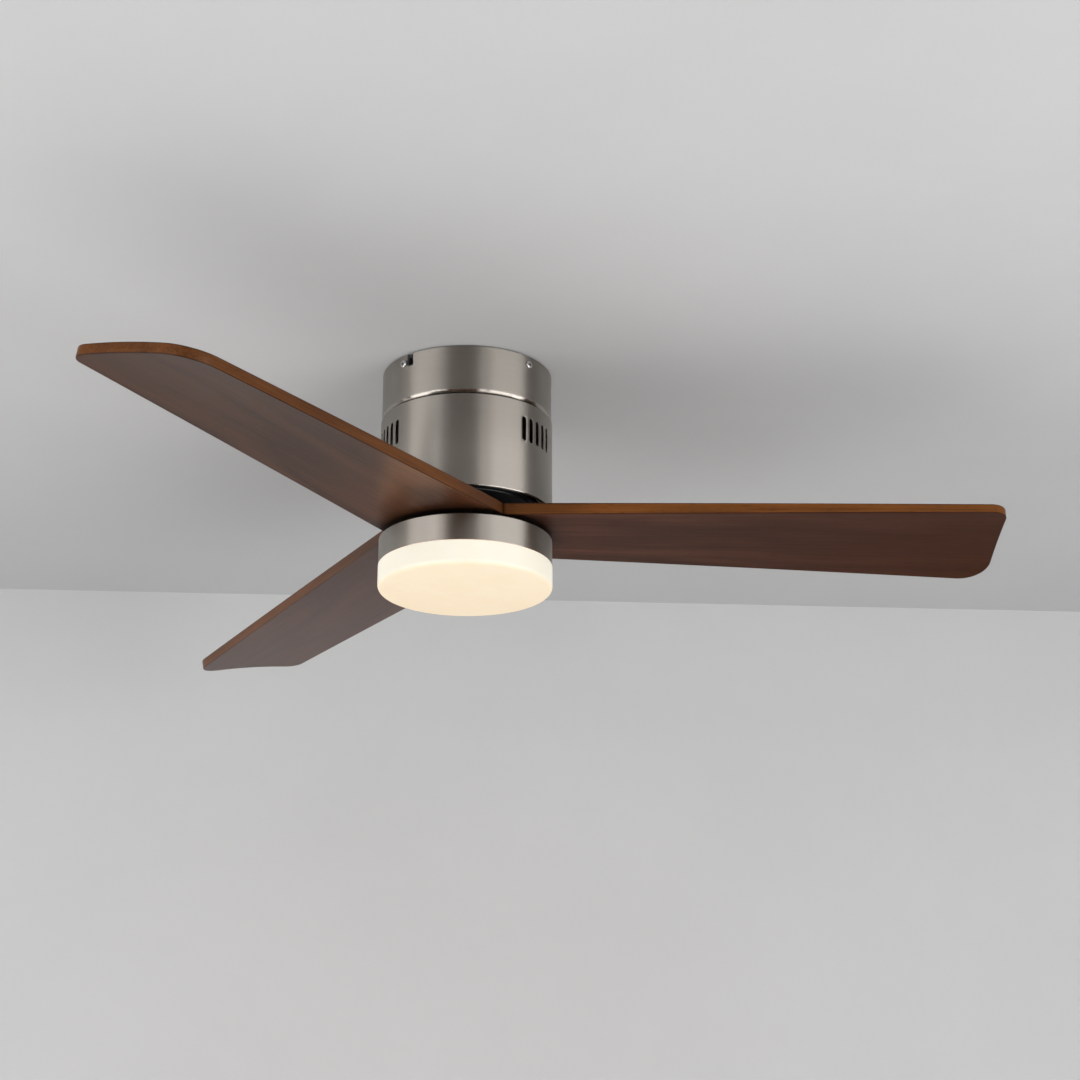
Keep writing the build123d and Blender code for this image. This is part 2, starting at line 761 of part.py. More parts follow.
# ---------------------------------------------------------------- blades
def make_carrier():
    """Black flanged hub under the rotor that the blades are bolted to."""
    disc_top = blade_top_z + carrier_thickness
    carrier = disc(carrier_neck_radius, rotor_face_z, disc_top)
    carrier += disc(carrier_radius, disc_top, blade_top_z)
    carrier -= disc(bell_bore_radius, rotor_face_z + 1, blade_top_z - 1)
    head = 1.8 * m5
    deep = blade_top_z + carrier_thickness * 0.7
    angles = spread(carrier_screw_count)
    circle = carrier_screw_circle_radius
    carrier = holes(carrier, m5 + hole_gap, circle, angles, rotor_face_z + 1, blade_top_z - 1)
    carrier = holes(carrier, head + hole_gap, circle, angles, deep, blade_top_z - 1)
    for middle in spread(blade_count, blade_rest_angle):
        carrier = holes(
            carrier, m5 + thread_gap, blade_screw_circle_radius, blade_screw_angles(middle), disc_top + 1,
            blade_top_z - 1
        )
    return carrier


def make_carrier_screws():
    """Screws from the carrier's recesses up into the rotor."""
    screw = Rot(180, 0, 0) * pan_screw(m5, carrier_screw_length, 1.8 * m5, 1.2 * m5)
    places = [polar(carrier_screw_circle_radius, angle) for angle in spread(carrier_screw_count)]
    return [placed(screw, x, y, blade_top_z + carrier_thickness * 0.7) for x, y in places]


def blade_screw_angles(middle):
    """The three screws of one blade."""
    return [middle - blade_screw_spread, middle, middle + blade_screw_spread]


def blade_section(x):
    """The blade's square-edged section at a distance x along it: pitched, lowered and thinned."""
    share = (x - carrier_radius) / (blade_tip_radius - carrier_radius)
    pitch = radians(blade_tip_pitch * share)
    thickness = blade_thickness + (blade_tip_thickness - blade_thickness) * share
    middle = blade_low_z + blade_thickness / 2 - blade_droop * share
    plane = Plane(origin=(x, 0, middle), x_dir=(0, cos(pitch), -sin(pitch)), z_dir=(1, 0, 0))
    return plane * Rectangle(blade_width / cos(pitch), thickness)


def make_blade(middle):
    """Board that twists, droops and thins evenly from a flat mitred root to its tip."""
    half = blade_width / 2
    mitre_x = half / tan(radians(180 / blade_count))
    root = Polygon(
        (0, 0), (mitre_x, -half), (carrier_radius, -half), (carrier_radius, half), (mitre_x, half),
        align=None,
    )
    step = (blade_tip_radius - carrier_radius) / (blade_stations - 1)
    sections = [blade_section(carrier_radius + index * step) for index in range(blade_stations)]
    board = loft(sections)
    corners = board.edges().group_by(Axis.X)[-1].sort_by(Axis.Y)
    board = fillet(corners[0], blade_leading_corner)
    corners = board.edges().filter_by(lambda edge: edge.center().X > blade_tip_radius - 0.1)
    board = fillet(corners.sort_by(Axis.Y)[-1], blade_trailing_corner)
    board += Pos(0, 0, blade_low_z) * extrude(root, blade_thickness)
    board -= disc(blade_root_hole, blade_top_z + 1, blade_low_z - 1)
    angles = blade_screw_angles(0)
    board = holes(board, m5 + hole_gap, blade_screw_circle_radius, angles, blade_top_z + 1, blade_low_z - 1)
    return Rot(0, 0, middle) * board


def blade_screw_places():
    """Where the blade screws stand, three to a blade."""
    middles = spread(blade_count, blade_rest_angle)
    circle = blade_screw_circle_radius
    return [polar(circle, angle) for middle in middles for angle in blade_screw_angles(middle)]


def make_blade_washers():
    """Fibre washers between the blades and their screw heads."""
    washer = ring(blade_washer_radius, m5 + hole_gap, 0, -blade_washer_thickness)
    return [placed(washer, x, y, blade_low_z) for x, y in blade_screw_places()]


def make_blade_screws():
    """Screws up through the blades into the carrier."""
    screw = Rot(180, 0, 0) * pan_screw(m5, blade_screw_length, 2 * m5, m5)
    return [placed(screw, x, y, blade_low_z - blade_washer_thickness) for x, y in blade_screw_places()]


# ---------------------------------------------------------------- light kit
def make_light_housing():
    """Shallow cup that opens downwards, its closed top just under the blades."""
    body = disc(light_radius, light_top_z, light_low_z)
    body = fillet(body.edges().group_by(Axis.Z)[-1], light_edge_radius)
    body -= disc(light_inner_radius, light_roof_z, light_low_z - 1)
    body -= disc(shaft_thread_radius + thread_gap, light_top_z + 1, light_roof_z - 1)
    angles = spread(support_screw_count, support_screw_angle)
    circle = support_screw_circle_radius
    return holes(body, m4 + thread_gap, circle, angles, light_top_z + 1, light_roof_z - 1)


def standoff_angles():
    """The board's posts stand midway between the bayonet's lugs."""
    return spread(standoff_count, bayonet_first_angle + 180 / standoff_count)


def make_support_plate():
    """Steel disc that stiffens the light housing's top."""
    plate = ring(support_plate_radius, shaft_thread_radius + thread_gap, light_roof_z, support_low_z)
    angles = spread(support_screw_count, support_screw_angle)
    circle = support_screw_circle_radius
    return holes(plate, m4 + hole_gap, circle, angles, light_roof_z + 1, support_low_z - 1)


def make_support_screws():
    """Screws that pin the plate to the housing's top."""
    length = support_plate_thickness + light_wall
    screw = Rot(180, 0, 0) * pan_screw(m4, length, 1.8 * m4, m4)
    angles = spread(support_screw_count, support_screw_angle)
    places = [polar(support_screw_circle_radius, angle) for angle in angles]
    return [placed(screw, x, y, support_low_z) for x, y in places]


def make_light_nut(high, low):
    """Hexagon nut on the shaft's thread: one above the light housing and one under its plate."""
    body = extrude(RegularPolygon(nut_across_flats / 2, 6, major_radius=False), high - low)
    return Pos(0, 0, low) * body - disc(shaft_thread_radius + thread_gap, high + 1, low - 1)


def make_light_washer():
    """Spring washer between the support plate and its nut."""
    return ring(light_washer_radius, shaft_thread_radius + hole_gap, support_low_z, washer_low_z)


def make_driver():
    """LED driver in its case, fixed under the support plate."""
    body = block(driver_length, driver_width, 0, -driver_offset, support_low_z, driver_low_z)
    return fillet(body.edges().filter_by(Axis.Z), driver_corner_radius)


def make_standoffs():
    """Posts from the housing's top down to the board."""
    post = ring(standoff_radius, m3 + thread_gap, light_roof_z, board_top_z)
    return [placed(post, *polar(standoff_circle_radius, angle), 0) for angle in standoff_angles()]


def make_board_screws():
    """Screws up through the board into its posts."""
    screw = Rot(180, 0, 0) * pan_screw(m3, board_thickness + 3 * m3, 1.9 * m3, 1.2 * m3)
    return [placed(screw, *polar(standoff_circle_radius, angle), board_low_z) for angle in standoff_angles()]


def make_board():
    """Round aluminium circuit board."""
    board = disc(board_radius, board_top_z, board_low_z)
    circle = standoff_circle_radius
    return holes(board, m3 + hole_gap, circle, standoff_angles(), board_top_z + 1, board_low_z - 1)


def make_chips():
    """Two circles of light-emitting chips under the board."""
    chip = block(chip_side, chip_side, 0, 0, board_low_z, board_low_z - chip_height)
    inner = turned(Pos(inner_chip_circle_radius, 0, 0) * chip, spread(inner_chip_count))
    outer = turned(Pos(outer_chip_circle_radius, 0, 0) * chip, spread(outer_chip_count))
    return inner + outer


def make_connector():
    """Push-in connector on the board."""
    top = board_top_z + connector_height
    return block(connector_length, connector_width, connector_x, connector_y, top, board_top_z)


def make_lock_ring():
    """Ring inside the light housing with a shelf and a stop for each of the diffuser's lugs."""
    inner = lock_ring_inner_radius
    root = inner + lock_ring_wall / 2
    body = ring(inner + lock_ring_wall, inner, shelf_low_z + lock_ring_height, shelf_low_z)
    for angle in spread(bayonet_count, bayonet_first_angle):
        body += sector(root, shelf_inner_radius, angle, shelf_arc, shelf_top_z, shelf_low_z)
        stop_middle = angle + lug_arc / 2 + stop_arc
        stop_top = shelf_top_z + bayonet_lug_height
        body += sector(root, shelf_inner_radius, stop_middle, stop_arc, stop_top, shelf_low_z)
    return body


def make_diffuser():
    """Opal cup with a rounded lower edge, a shoulder, and a neck with bayonet lugs."""
    neck_top_z = shelf_top_z + bayonet_lug_gap + bayonet_lug_height
    cup = disc(diffuser_radius, diffuser_top_z, diffuser_low_z)
    cup = fillet(cup.edges().group_by(Axis.Z)[0], diffuser_corner_radius)
    high = diffuser_top_z - diffuser_wall
    hollow = disc(diffuser_radius - diffuser_wall, high, diffuser_low_z + diffuser_wall)
    hollow = fillet(hollow.edges().group_by(Axis.Z)[0], diffuser_corner_radius - diffuser_wall)
    cup -= hollow
    cup += disc(neck_radius, neck_top_z, diffuser_top_z)
    cup -= disc(neck_radius - diffuser_wall, neck_top_z + 1, diffuser_top_z - 2 * diffuser_wall)
    lug_low_z = shelf_top_z + bayonet_lug_gap
    for angle in spread(bayonet_count, bayonet_first_angle):
        root = neck_radius - diffuser_wall / 2
        cup += sector(bayonet_lug_radius, root, angle, lug_arc, neck_top_z, lug_low_z)
    return cup


# ---------------------------------------------------------------- lead inside the fan
def make_light_lead():
    """Round lead from the receiver, down the hollow shaft and across to the LED driver."""
    start_y = hanger_radius + receiver_from_hanger
    high = canopy_floor_z + lead_height_in_receiver
    low = shaft_low_z - lead_below_shaft
    end_y = -driver_offset + driver_width / 2
    points = [(0, start_y, high), (0, 0, high), (0, 0, low), (0, end_y, low)]
    path = FilletPolyline(*points, radius=[lead_upper_bend, lead_lower_bend])
    end = Plane(origin=points[0], z_dir=(0, -1, 0))
    lead = sweep(end * Circle(lead_radius), path)
    print("light lead bends", lead_upper_bend, lead_lower_bend, "length", round(path.length, 1))
    return lead


save("ceiling_bracket", make_bracket())
save("earth_screw", make_earth_screw())
save("terminal_block", make_terminal_block())
save("canopy", make_canopy())
save("canopy_screws", *make_canopy_screws())
save("receiver_case", make_receiver())
save("hanger_plate", make_hanger_plate())
save("hanger_washers", *make_hanger_washers())
save("hanger_screws", *make_hanger_screws())
save("motor_housing", make_housing())
save("hanger_yoke", make_yoke())
save("shaft_bolts", *make_shaft_bolts())
save("motor_shaft", make_shaft())
save("retaining_rings", *make_retaining_rings())
save("bearing_spacers", *make_bearing_spacers())
for place, level in (("upper", upper_bearing_z), ("lower", lower_bearing_z)):
    inner, outer, balls, cage = make_bearing(level)
    save(f"{place}_bearing_inner_ring", inner)
    save(f"{place}_bearing_outer_ring", outer)
    save(f"{place}_bearing_balls", *balls)
    save(f"{place}_bearing_cage", cage)
save("stator_hub", make_stator_hub())
save("stator_core", make_stator_core())
save("stator_windings", *make_stator_windings())
save("upper_insulator", make_insulator(stack_top_z + former_height, stack_top_z))
save("lower_insulator", make_insulator(stack_low_z, stack_low_z - former_height))
save("rotor_core", make_rotor_core())
save("rotor_bars", make_rotor_bars())
save("rotor_upper_bell", make_upper_bell())
save("rotor_lower_bell", make_lower_bell())
save("rotor_screws", *make_rotor_screws())
save("blade_carrier", make_carrier())
save("carrier_screws", *make_carrier_screws())
for number, angle in enumerate(spread(blade_count, blade_rest_angle), start=1):
    save(f"blade_{number}", make_blade(angle))
save("blade_washers", *make_blade_washers())
save("blade_screws", *make_blade_screws())
save("light_jam_nut", make_light_nut(light_top_z + jam_nut_height, light_top_z))
save("light_housing", make_light_housing())
save("light_support_plate", make_support_plate())
save("support_screws", *make_support_screws())
save("light_washer", make_light_washer())
save("light_nut", make_light_nut(washer_low_z, light_nut_low_z))
save("led_driver", make_driver())
save("board_standoffs", *make_standoffs())
save("board_screws", *make_board_screws())
save("led_board", make_board())
save("led_chips", *make_chips())
save("board_connector", make_connector())
save("diffuser_lock_ring", make_lock_ring())
save("diffuser", make_diffuser())
save("light_lead", make_light_lead())
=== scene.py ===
"""Looks of a three-blade flush-mount ceiling fan with a round light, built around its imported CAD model.

Lengths are metres, in the CAD frame: the origin is on the ceiling at the fan's axis, +Z is up, and
everything hangs below z = 0.
"""

from __future__ import annotations

import logging
import math
from dataclasses import dataclass
from enum import Enum
from typing import Any, Sequence

import bpy
import numpy as np
from mathutils import Euler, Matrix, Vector

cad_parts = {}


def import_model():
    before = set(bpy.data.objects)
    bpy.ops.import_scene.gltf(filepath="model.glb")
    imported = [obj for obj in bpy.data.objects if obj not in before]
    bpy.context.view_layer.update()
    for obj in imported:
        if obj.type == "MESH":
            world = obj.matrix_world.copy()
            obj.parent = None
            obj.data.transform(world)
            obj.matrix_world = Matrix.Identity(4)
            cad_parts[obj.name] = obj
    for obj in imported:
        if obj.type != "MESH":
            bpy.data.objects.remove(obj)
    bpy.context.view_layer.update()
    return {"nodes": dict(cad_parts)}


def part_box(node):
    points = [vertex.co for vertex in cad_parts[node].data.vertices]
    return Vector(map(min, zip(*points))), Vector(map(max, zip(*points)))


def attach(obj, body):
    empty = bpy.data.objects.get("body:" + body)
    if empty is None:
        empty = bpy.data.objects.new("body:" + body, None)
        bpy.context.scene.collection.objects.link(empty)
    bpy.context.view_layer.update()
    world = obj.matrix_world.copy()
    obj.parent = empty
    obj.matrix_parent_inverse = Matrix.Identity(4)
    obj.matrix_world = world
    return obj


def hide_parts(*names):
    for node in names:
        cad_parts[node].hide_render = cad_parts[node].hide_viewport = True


Colour = tuple[float, float, float]
Socket = bpy.types.NodeSocket

BLACK: Colour = (0.0, 0.0, 0.0)
log = logging.getLogger("ceiling_fan")


# ---------------------------------------------------------------- node wiring
@dataclass
class Wiring:
    """Adds nodes to one node tree and joins them."""

    tree: bpy.types.NodeTree

    def node(self, kind: str, inputs: dict[Any, Any] | None = None, **settings: Any) -> bpy.types.Node:
        """Adds one node.

        Args:
            kind: Blender's name for the type of node.
            inputs: a value or another node's output for each input, by name or number.
            settings: properties of the node itself.

        Returns:
            The new node.
        """
        made = self.tree.nodes.new(kind)
        for name, value in settings.items():
            setattr(made, name, value)
        for name, value in (inputs or {}).items():
            self.feed(made.inputs[name], value)
        return made

    def feed(self, socket: Socket, value: Any) -> None:
        """Links an output to a socket, or sets the socket to a plain value.

        Args:
            socket: the input that is fed.
            value: an output socket, a number, or a colour or vector.
        """
        if isinstance(value, Socket):
            self.tree.links.new(value, socket)
        elif isinstance(value, tuple) and len(value) == 3 and socket.type == "RGBA":
            socket.default_value = (*value, 1.0)
        else:
            socket.default_value = value

    def math(self, operation: str, *values: Any, clamp: bool = False) -> Socket:
        """Adds a Math node and returns its output.

        Args:
            operation: what it works out, such as ADD or POWER.
            values: its inputs in order.
            clamp: keep the result between 0 and 1.

        Returns:
            The result.
        """
        inputs = dict(enumerate(values))
        return self.node("ShaderNodeMath", inputs, operation=operation, use_clamp=clamp).outputs[0]

    def vector_math(self, operation: str, *values: Any) -> bpy.types.Node:
        """Adds a Vector Math node with its inputs in order and returns the node."""
        return self.node("ShaderNodeVectorMath", dict(enumerate(values)), operation=operation)

    def mix(self, share: Any, first: Any, second: Any, blend: str = "MIX") -> Socket:
        """Mixes two colours.

        Args:
            share: how much of the second colour, 0 to 1.
            first: the colour at 0.
            second: the colour at 1.
            blend: the way they are mixed.

        Returns:
            The mixed colour.
        """
        made = self.node("ShaderNodeMix", data_type="RGBA", blend_type=blend)
        self.feed(made.inputs["Factor"], share)
        self.feed(made.inputs["A"], first)
        self.feed(made.inputs["B"], second)
        return made.outputs["Result"]

    def span(self, value: Any, low: float, high: float,
             out_low: float = 0.0, out_high: float = 1.0) -> Socket:
        """Carries a value from one range to another along a smooth step.

        Args:
            value: the number to carry over.
            low: where the step starts.
            high: where the step ends.
            out_low: the result at and below low.
            out_high: the result at and above high.

        Returns:
            The stepped value.
        """
        inputs = {"Value": value, "From Min": low, "From Max": high, "To Min": out_low, "To Max": out_high}
        return self.node("ShaderNodeMapRange", inputs, interpolation_type="SMOOTHSTEP").outputs["Result"]

    def noise(self, vector: Socket, scale: float, detail: float = 2.0, roughness: float = 0.5) -> Socket:
        """Adds a noise texture and returns its value."""
        inputs = {"Vector": vector, "Scale": scale, "Detail": detail, "Roughness": roughness}
        return self.node("ShaderNodeTexNoise", inputs).outputs["Fac"]

    def streaks(self, vector: Socket, scale: tuple[float, float, float], detail: float,
                roughness: float = 0.5) -> Socket:
        """Adds noise that is scaled by its own amount along each axis, and returns its value."""
        stretched = self.node("ShaderNodeMapping", {"Vector": vector, "Scale": scale})
        return self.noise(stretched.outputs["Vector"], 1.0, detail, roughness)

    def split(self, vector: Any) -> bpy.types.NodeOutputs:
        """Separates a vector into x, y and z."""
        return self.node("ShaderNodeSeparateXYZ", {0: vector}).outputs

    def joined(self, *parts: Any) -> Socket:
        """Combines x, y and z into a vector."""
        return self.node("ShaderNodeCombineXYZ", dict(enumerate(parts))).outputs[0]

    def scaled(self, value: Any, factor: Any) -> Socket:
        """Multiplies a value by a factor."""
        return self.math("MULTIPLY", value, factor)

    def line(self, value: Any, factor: Any, start: Any, clamp: bool = False) -> Socket:
        """Multiplies a value by a factor and adds a start."""
        return self.math("ADD", self.scaled(value, factor), start, clamp=clamp)

    def bump(self, shader: bpy.types.Node, height: Socket, relief: float) -> None:
        """Raises the surface by a height from 0 to 1, times the relief in metres."""
        made = self.node("ShaderNodeBump", {"Height": height, "Distance": relief})
        self.feed(shader.inputs["Normal"], made.outputs["Normal"])


def new_material(name: str) -> tuple[bpy.types.Material, Wiring, bpy.types.Node]:
    """Starts a material, and returns it with its wiring and its Principled BSDF."""
    material = bpy.data.materials.new(name)
    material.use_nodes = True
    return material, Wiring(material.node_tree), material.node_tree.nodes["Principled BSDF"]


def add_object(name: str, data: Any) -> bpy.types.Object:
    """Puts a new object into the scene."""
    made = bpy.data.objects.new(name, data)
    bpy.context.scene.collection.objects.link(made)
    return made


def new_group(name: str, inputs: dict[str, tuple[str, Any]], outputs: dict[str, str]) -> tuple[Any, ...]:
    """Starts a shader node group with named sockets.

    Args:
        name: the group's name.
        inputs: for each input its kind (Float, Vector or Color) and its default value.
        outputs: for each output its kind.

    Returns:
        The group, its wiring, its input sockets by name, and its output node.
    """
    group = bpy.data.node_groups.new(name, "ShaderNodeTree")
    for label, (kind, value) in inputs.items():
        socket = group.interface.new_socket(label, in_out="INPUT", socket_type=f"NodeSocket{kind}")
        if value is not None:
            socket.default_value = (*value, 1.0) if kind == "Color" else value
    for label, kind in outputs.items():
        group.interface.new_socket(label, in_out="OUTPUT", socket_type=f"NodeSocket{kind}")
    wires = Wiring(group)
    return group, wires, wires.node("NodeGroupInput").outputs, wires.node("NodeGroupOutput").inputs


class Effects:
    """Shader node groups that several finishes share, each built once."""

    def __init__(self) -> None:
        """Starts with no group built."""
        self.built: dict[str, bpy.types.NodeTree] = {}

    def place(self, wires: Wiring, effect: str, **inputs: Any) -> bpy.types.NodeOutputs:
        """Puts a group into a material.

        Args:
            wires: the material's wiring.
            effect: the name of the method here that builds the group.
            inputs: the group's inputs, with _ for a space in a name.

        Returns:
            The group node's outputs.
        """
        if effect not in self.built:
            self.built[effect] = getattr(self, effect)()
        node = wires.node("ShaderNodeGroup")
        node.node_tree = self.built[effect]
        for name, value in inputs.items():
            wires.feed(node.inputs[name.replace("_", " ")], value)
        return node.outputs

    @staticmethod
    def turned_lines() -> bpy.types.NodeTree:
        """Fine lines left by brushing round the Z axis.

        The noise is read at (a little of x, a little of y, distance from the axis plus height), so that it
        changes fast across the lines and hardly along them, on walls and flat ends alike.
        """
        inputs = {"Vector": ("Vector", None), "Fineness": ("Float", 900.0), "Length": ("Float", 5.0)}
        group, w, given, result = new_group("turned_lines", inputs, {"Tone": "Float", "Height": "Float"})
        x, y, z = w.split(given["Vector"])
        radius = w.vector_math("LENGTH", w.joined(x, y)).outputs["Value"]
        across = w.scaled(w.math("ADD", radius, z), given["Fineness"])
        place = w.joined(w.scaled(x, given["Length"]), w.scaled(y, given["Length"]), across)
        fine = w.noise(place, 1.0, detail=3.0, roughness=0.7)
        broad = w.noise(place, 0.23, detail=1.0)
        w.feed(result["Tone"], w.line(fine, 0.6, w.scaled(broad, 0.4)))
        w.feed(result["Height"], fine)
        return group

    @staticmethod
    def soft_edges() -> bpy.types.NodeTree:
        """A mask of sharp corners: it grows as the normal rounded over them leaves the face's own."""
        inputs = {"Width": ("Float", 0.0006)}
        group, w, given, result = new_group("soft_edges", inputs, {"Mask": "Float"})
        rounded = w.node("ShaderNodeBevel", {"Radius": given["Width"]}, samples=4).outputs["Normal"]
        own = w.node("ShaderNodeNewGeometry").outputs["Normal"]
        alike = w.vector_math("DOT_PRODUCT", rounded, own).outputs["Value"]
        w.feed(result["Mask"], w.span(alike, 0.995, 0.8))
        return group

    @staticmethod
    def handling() -> bpy.types.NodeTree:
        """Cloudy patches of use, for colour and roughness."""
        inputs = {"Vector": ("Vector", None), "Size": ("Float", 18.0)}
        group, w, given, result = new_group("handling", inputs, {"Cloud": "Float"})
        scaled = w.vector_math("SCALE", given["Vector"])
        w.feed(scaled.inputs["Scale"], given["Size"])
        w.feed(result["Cloud"], w.span(w.noise(scaled.outputs[0], 1.0, 4.0, 0.62), 0.3, 0.7))
        return group

    @staticmethod
    def painted_crevice_shade() -> bpy.types.NodeTree:
        """A mask of narrow gaps and inner corners, used to paint shade into the colour where surfaces crowd
        in.
        """
        inputs = {"Reach": ("Float", 0.003)}
        group, w, given, result = new_group("painted_crevice_shade", inputs, {"Mask": "Float"})
        around = w.node("ShaderNodeAmbientOcclusion", {"Distance": given["Reach"]}, samples=4)
        w.feed(result["Mask"], w.span(around.outputs["AO"], 0.75, 0.2))
        return group

    @staticmethod
    def dust() -> bpy.types.NodeTree:
        """A thin film of dust on faces that look up, broken up by noise."""
        inputs = {"Vector": ("Vector", None), "Amount": ("Float", 0.25)}
        group, w, given, result = new_group("dust", inputs, {"Mask": "Float"})
        up = w.split(w.node("ShaderNodeNewGeometry").outputs["Normal"])[2]
        patchy = w.span(w.noise(given["Vector"], 24.0, detail=3.0), 0.1, 0.75)
        w.feed(result["Mask"], w.scaled(w.scaled(w.span(up, 0.5, 0.95), patchy), given["Amount"]))
        return group

    @staticmethod
    def wood_grain() -> bpy.types.NodeTree:
        """Walnut figure along x of the vector that is given.

        Growth rings are a wave over a distance bent by slow noise, pores are short dark dashes, and a slow
        cloud changes the tone from place to place.
        """
        names = ("Rings", "Bands", "Fibres", "Pores", "Cloud")
        inputs = {"Vector": ("Vector", None)}
        group, w, given, result = new_group("wood_grain", inputs, dict.fromkeys(names, "Float"))
        place = given["Vector"]
        bend = w.streaks(place, (1.6, 9.0, 9.0), 3.0)
        _, y, z = w.split(place)
        rings = w.line(w.line(z, 0.55, y), 26.0, w.scaled(bend, 9.0))
        dashes = w.streaks(place, (60.0, 1500.0, 1500.0), 1.0)
        w.feed(result["Rings"], w.math("PINGPONG", rings, 1.0))
        w.feed(result["Bands"], w.streaks(place, (5.0, 260.0, 260.0), 3.0, 0.6))
        w.feed(result["Fibres"], w.streaks(place, (14.0, 900.0, 900.0), 4.0, 0.65))
        w.feed(result["Pores"], w.span(dashes, 0.62, 0.72))
        w.feed(result["Cloud"], w.streaks(place, (3.0, 14.0, 14.0), 3.0))
        return group


# ---------------------------------------------------------------- finishes
class Texture(Enum):
    """How a surface was made, which sets the pattern of its finish."""

    TURNED = "lines round the axis"
    STREAKED = "lines along one way"
    CAST = "as cast"
    MOULDED = "moulded, fine grain"
    PLATED = "plated, cloudy"
    SHEETED = "stack of thin sheets"
    WOUND = "turns of wire"


@dataclass(frozen=True)
class Finish:
    """One finish of the fan: a base colour with a pattern, handling and dust, edges partly worn and partly
    given a painted highlight, painted shade in crevices and, where set, painted shade toward the ceiling.
    """

    name: str
    light: Colour
    dark: Colour
    texture: Texture
    metallic: float = 1.0
    roughness: tuple[float, float] = (0.3, 0.42)
    relief: float = 0.00002
    pitch: float = 900.0
    cloud_share: float = 0.18
    cloud_roughness: float = 0.05
    anisotropy: float = 0.0
    anisotropy_turn: float = 0.25
    coat: float = 0.0
    coat_roughness: float = 0.15
    # Sharp corners, found over edge_width, take a lighter tone: partly edge wear, partly a painted
    # highlight.
    edge_width: float = 0.0004
    edge_wear_and_highlight_tone: Colour = (0.85, 0.85, 0.84)
    edge_wear_and_highlight_share: float = 0.35
    rolled: float = 1.0
    rolled_span: tuple[float, float] = (0.06, 0.3)
    # Painted shade in narrow gaps and inner corners: how far it reaches, how strong it is, and its colour.
    crevice_shade_reach: float = 0.003
    crevice_shade_share: float = 0.7
    crevice_shade_tone: Colour = (0.03, 0.024, 0.02)
    # Painted shade: over this span of heights the colour darkens toward the ceiling, down to this share.
    ceiling_shade_share: float = 1.0
    ceiling_shade_span: tuple[float, float] = (-0.15, -0.08)
    dust_amount: float = 0.2
    dust_tone: Colour = (0.42, 0.4, 0.37)
    dust_roughness: float = 0.5

    def pattern(self, w: Wiring, place: Socket, effects: Effects) -> tuple[Socket, Socket]:
        """Works out the pattern that the making left.

        Args:
            w: the material's wiring.
            place: object coordinates.
            effects: the shared node groups.

        Returns:
            A tone from 0 to 1 and a height from 0 to 1.
        """
        if self.texture is Texture.TURNED:
            lines = effects.place(w, "turned_lines", Vector=place, Fineness=self.pitch)
            return lines["Tone"], lines["Height"]
        if self.texture is Texture.STREAKED:
            lines = w.streaks(place, (self.pitch, self.pitch, self.pitch / 40), 3.0, 0.6)
            return lines, lines
        if self.texture is Texture.SHEETED:
            sheet = w.math("PINGPONG", w.scaled(w.split(place)[2], self.pitch), 1.0)
            return w.scaled(sheet, w.noise(place, 300.0)), sheet
        if self.texture is Texture.WOUND:
            turns = w.node("ShaderNodeTexWave", {"Vector": place, "Scale": self.pitch, "Distortion": 0.6})
            return turns.outputs["Fac"], turns.outputs["Fac"]
        if self.texture is Texture.CAST:
            return w.noise(place, self.pitch / 6, 3.0), w.noise(place, self.pitch, 5.0, 0.7)
        cells = w.node("ShaderNodeTexVoronoi", {"Vector": place, "Scale": self.pitch}).outputs
        if self.texture is Texture.PLATED:
            spangle = w.node("ShaderNodeSeparateColor", {0: cells["Color"]}).outputs[0]
            return spangle, w.noise(place, self.pitch * 4, 3.0)
        return w.noise(place, self.pitch / 12, 3.0), cells["Distance"]

    def material(self, effects: Effects) -> bpy.types.Material:
        """Builds the material.

        Args:
            effects: the shared node groups.

        Returns:
            The finished material.
        """
        material, w, shader = new_material(self.name)
        coordinates = w.node("ShaderNodeTexCoord").outputs
        place = coordinates["Object"]
        tone, height = self.pattern(w, place, effects)
        cloud = effects.place(w, "handling", Vector=place)["Cloud"]
        edges = effects.place(w, "soft_edges", Width=self.edge_width)["Mask"]
        crevice_shade = effects.place(w, "painted_crevice_shade", Reach=self.crevice_shade_reach)["Mask"]
        film = effects.place(w, "dust", Vector=place, Amount=self.dust_amount)["Mask"]
        colour = w.mix(tone, self.dark, self.light)
        colour = w.mix(w.scaled(cloud, self.cloud_share), colour, self.dark)
        # Partly edge wear, partly a painted highlight: sharp corners turn toward the lighter edge tone.
        colour = w.mix(w.scaled(edges, self.edge_wear_and_highlight_share), colour, self.edge_wear_and_highlight_tone)
        # Painted shade: darker toward the ceiling.
        if self.ceiling_shade_share < 1.0:
            shade = w.span(w.split(place)[2], *self.ceiling_shade_span, 1.0, self.ceiling_shade_share)
            colour = w.mix(shade, BLACK, colour)
        # Painted shade: the colour darkens toward the crevice tone in narrow gaps and inner corners.
        colour = w.mix(w.scaled(crevice_shade, self.crevice_shade_share), colour, self.crevice_shade_tone)
        w.feed(shader.inputs["Base Color"], w.mix(film, colour, self.dust_tone))
        low, high = self.roughness
        rough = w.line(cloud, self.cloud_roughness, w.line(tone, high - low, low))
        rough = w.line(film, self.dust_roughness, rough, clamp=True)
        if self.rolled < 1.0:
            turned = w.math("ABSOLUTE", w.split(coordinates["Normal"])[2])
            rough = w.scaled(rough, w.span(turned, *self.rolled_span, 1.0, self.rolled))
        w.feed(shader.inputs["Roughness"], rough)
        if self.metallic:
            w.feed(shader.inputs["Metallic"], w.math("SUBTRACT", self.metallic, film, clamp=True))
        if self.relief:
            w.bump(shader, height, self.relief)
        shader.inputs["Coat Weight"].default_value = self.coat
        shader.inputs["Coat Roughness"].default_value = self.coat_roughness
        if self.anisotropy:
            shader.inputs["Anisotropic"].default_value = self.anisotropy
            shader.inputs["Anisotropic Rotation"].default_value = self.anisotropy_turn
            tangent = w.node("ShaderNodeTangent", direction_type="RADIAL", axis="Z").outputs["Tangent"]
            w.feed(shader.inputs["Tangent"], tangent)
        return material


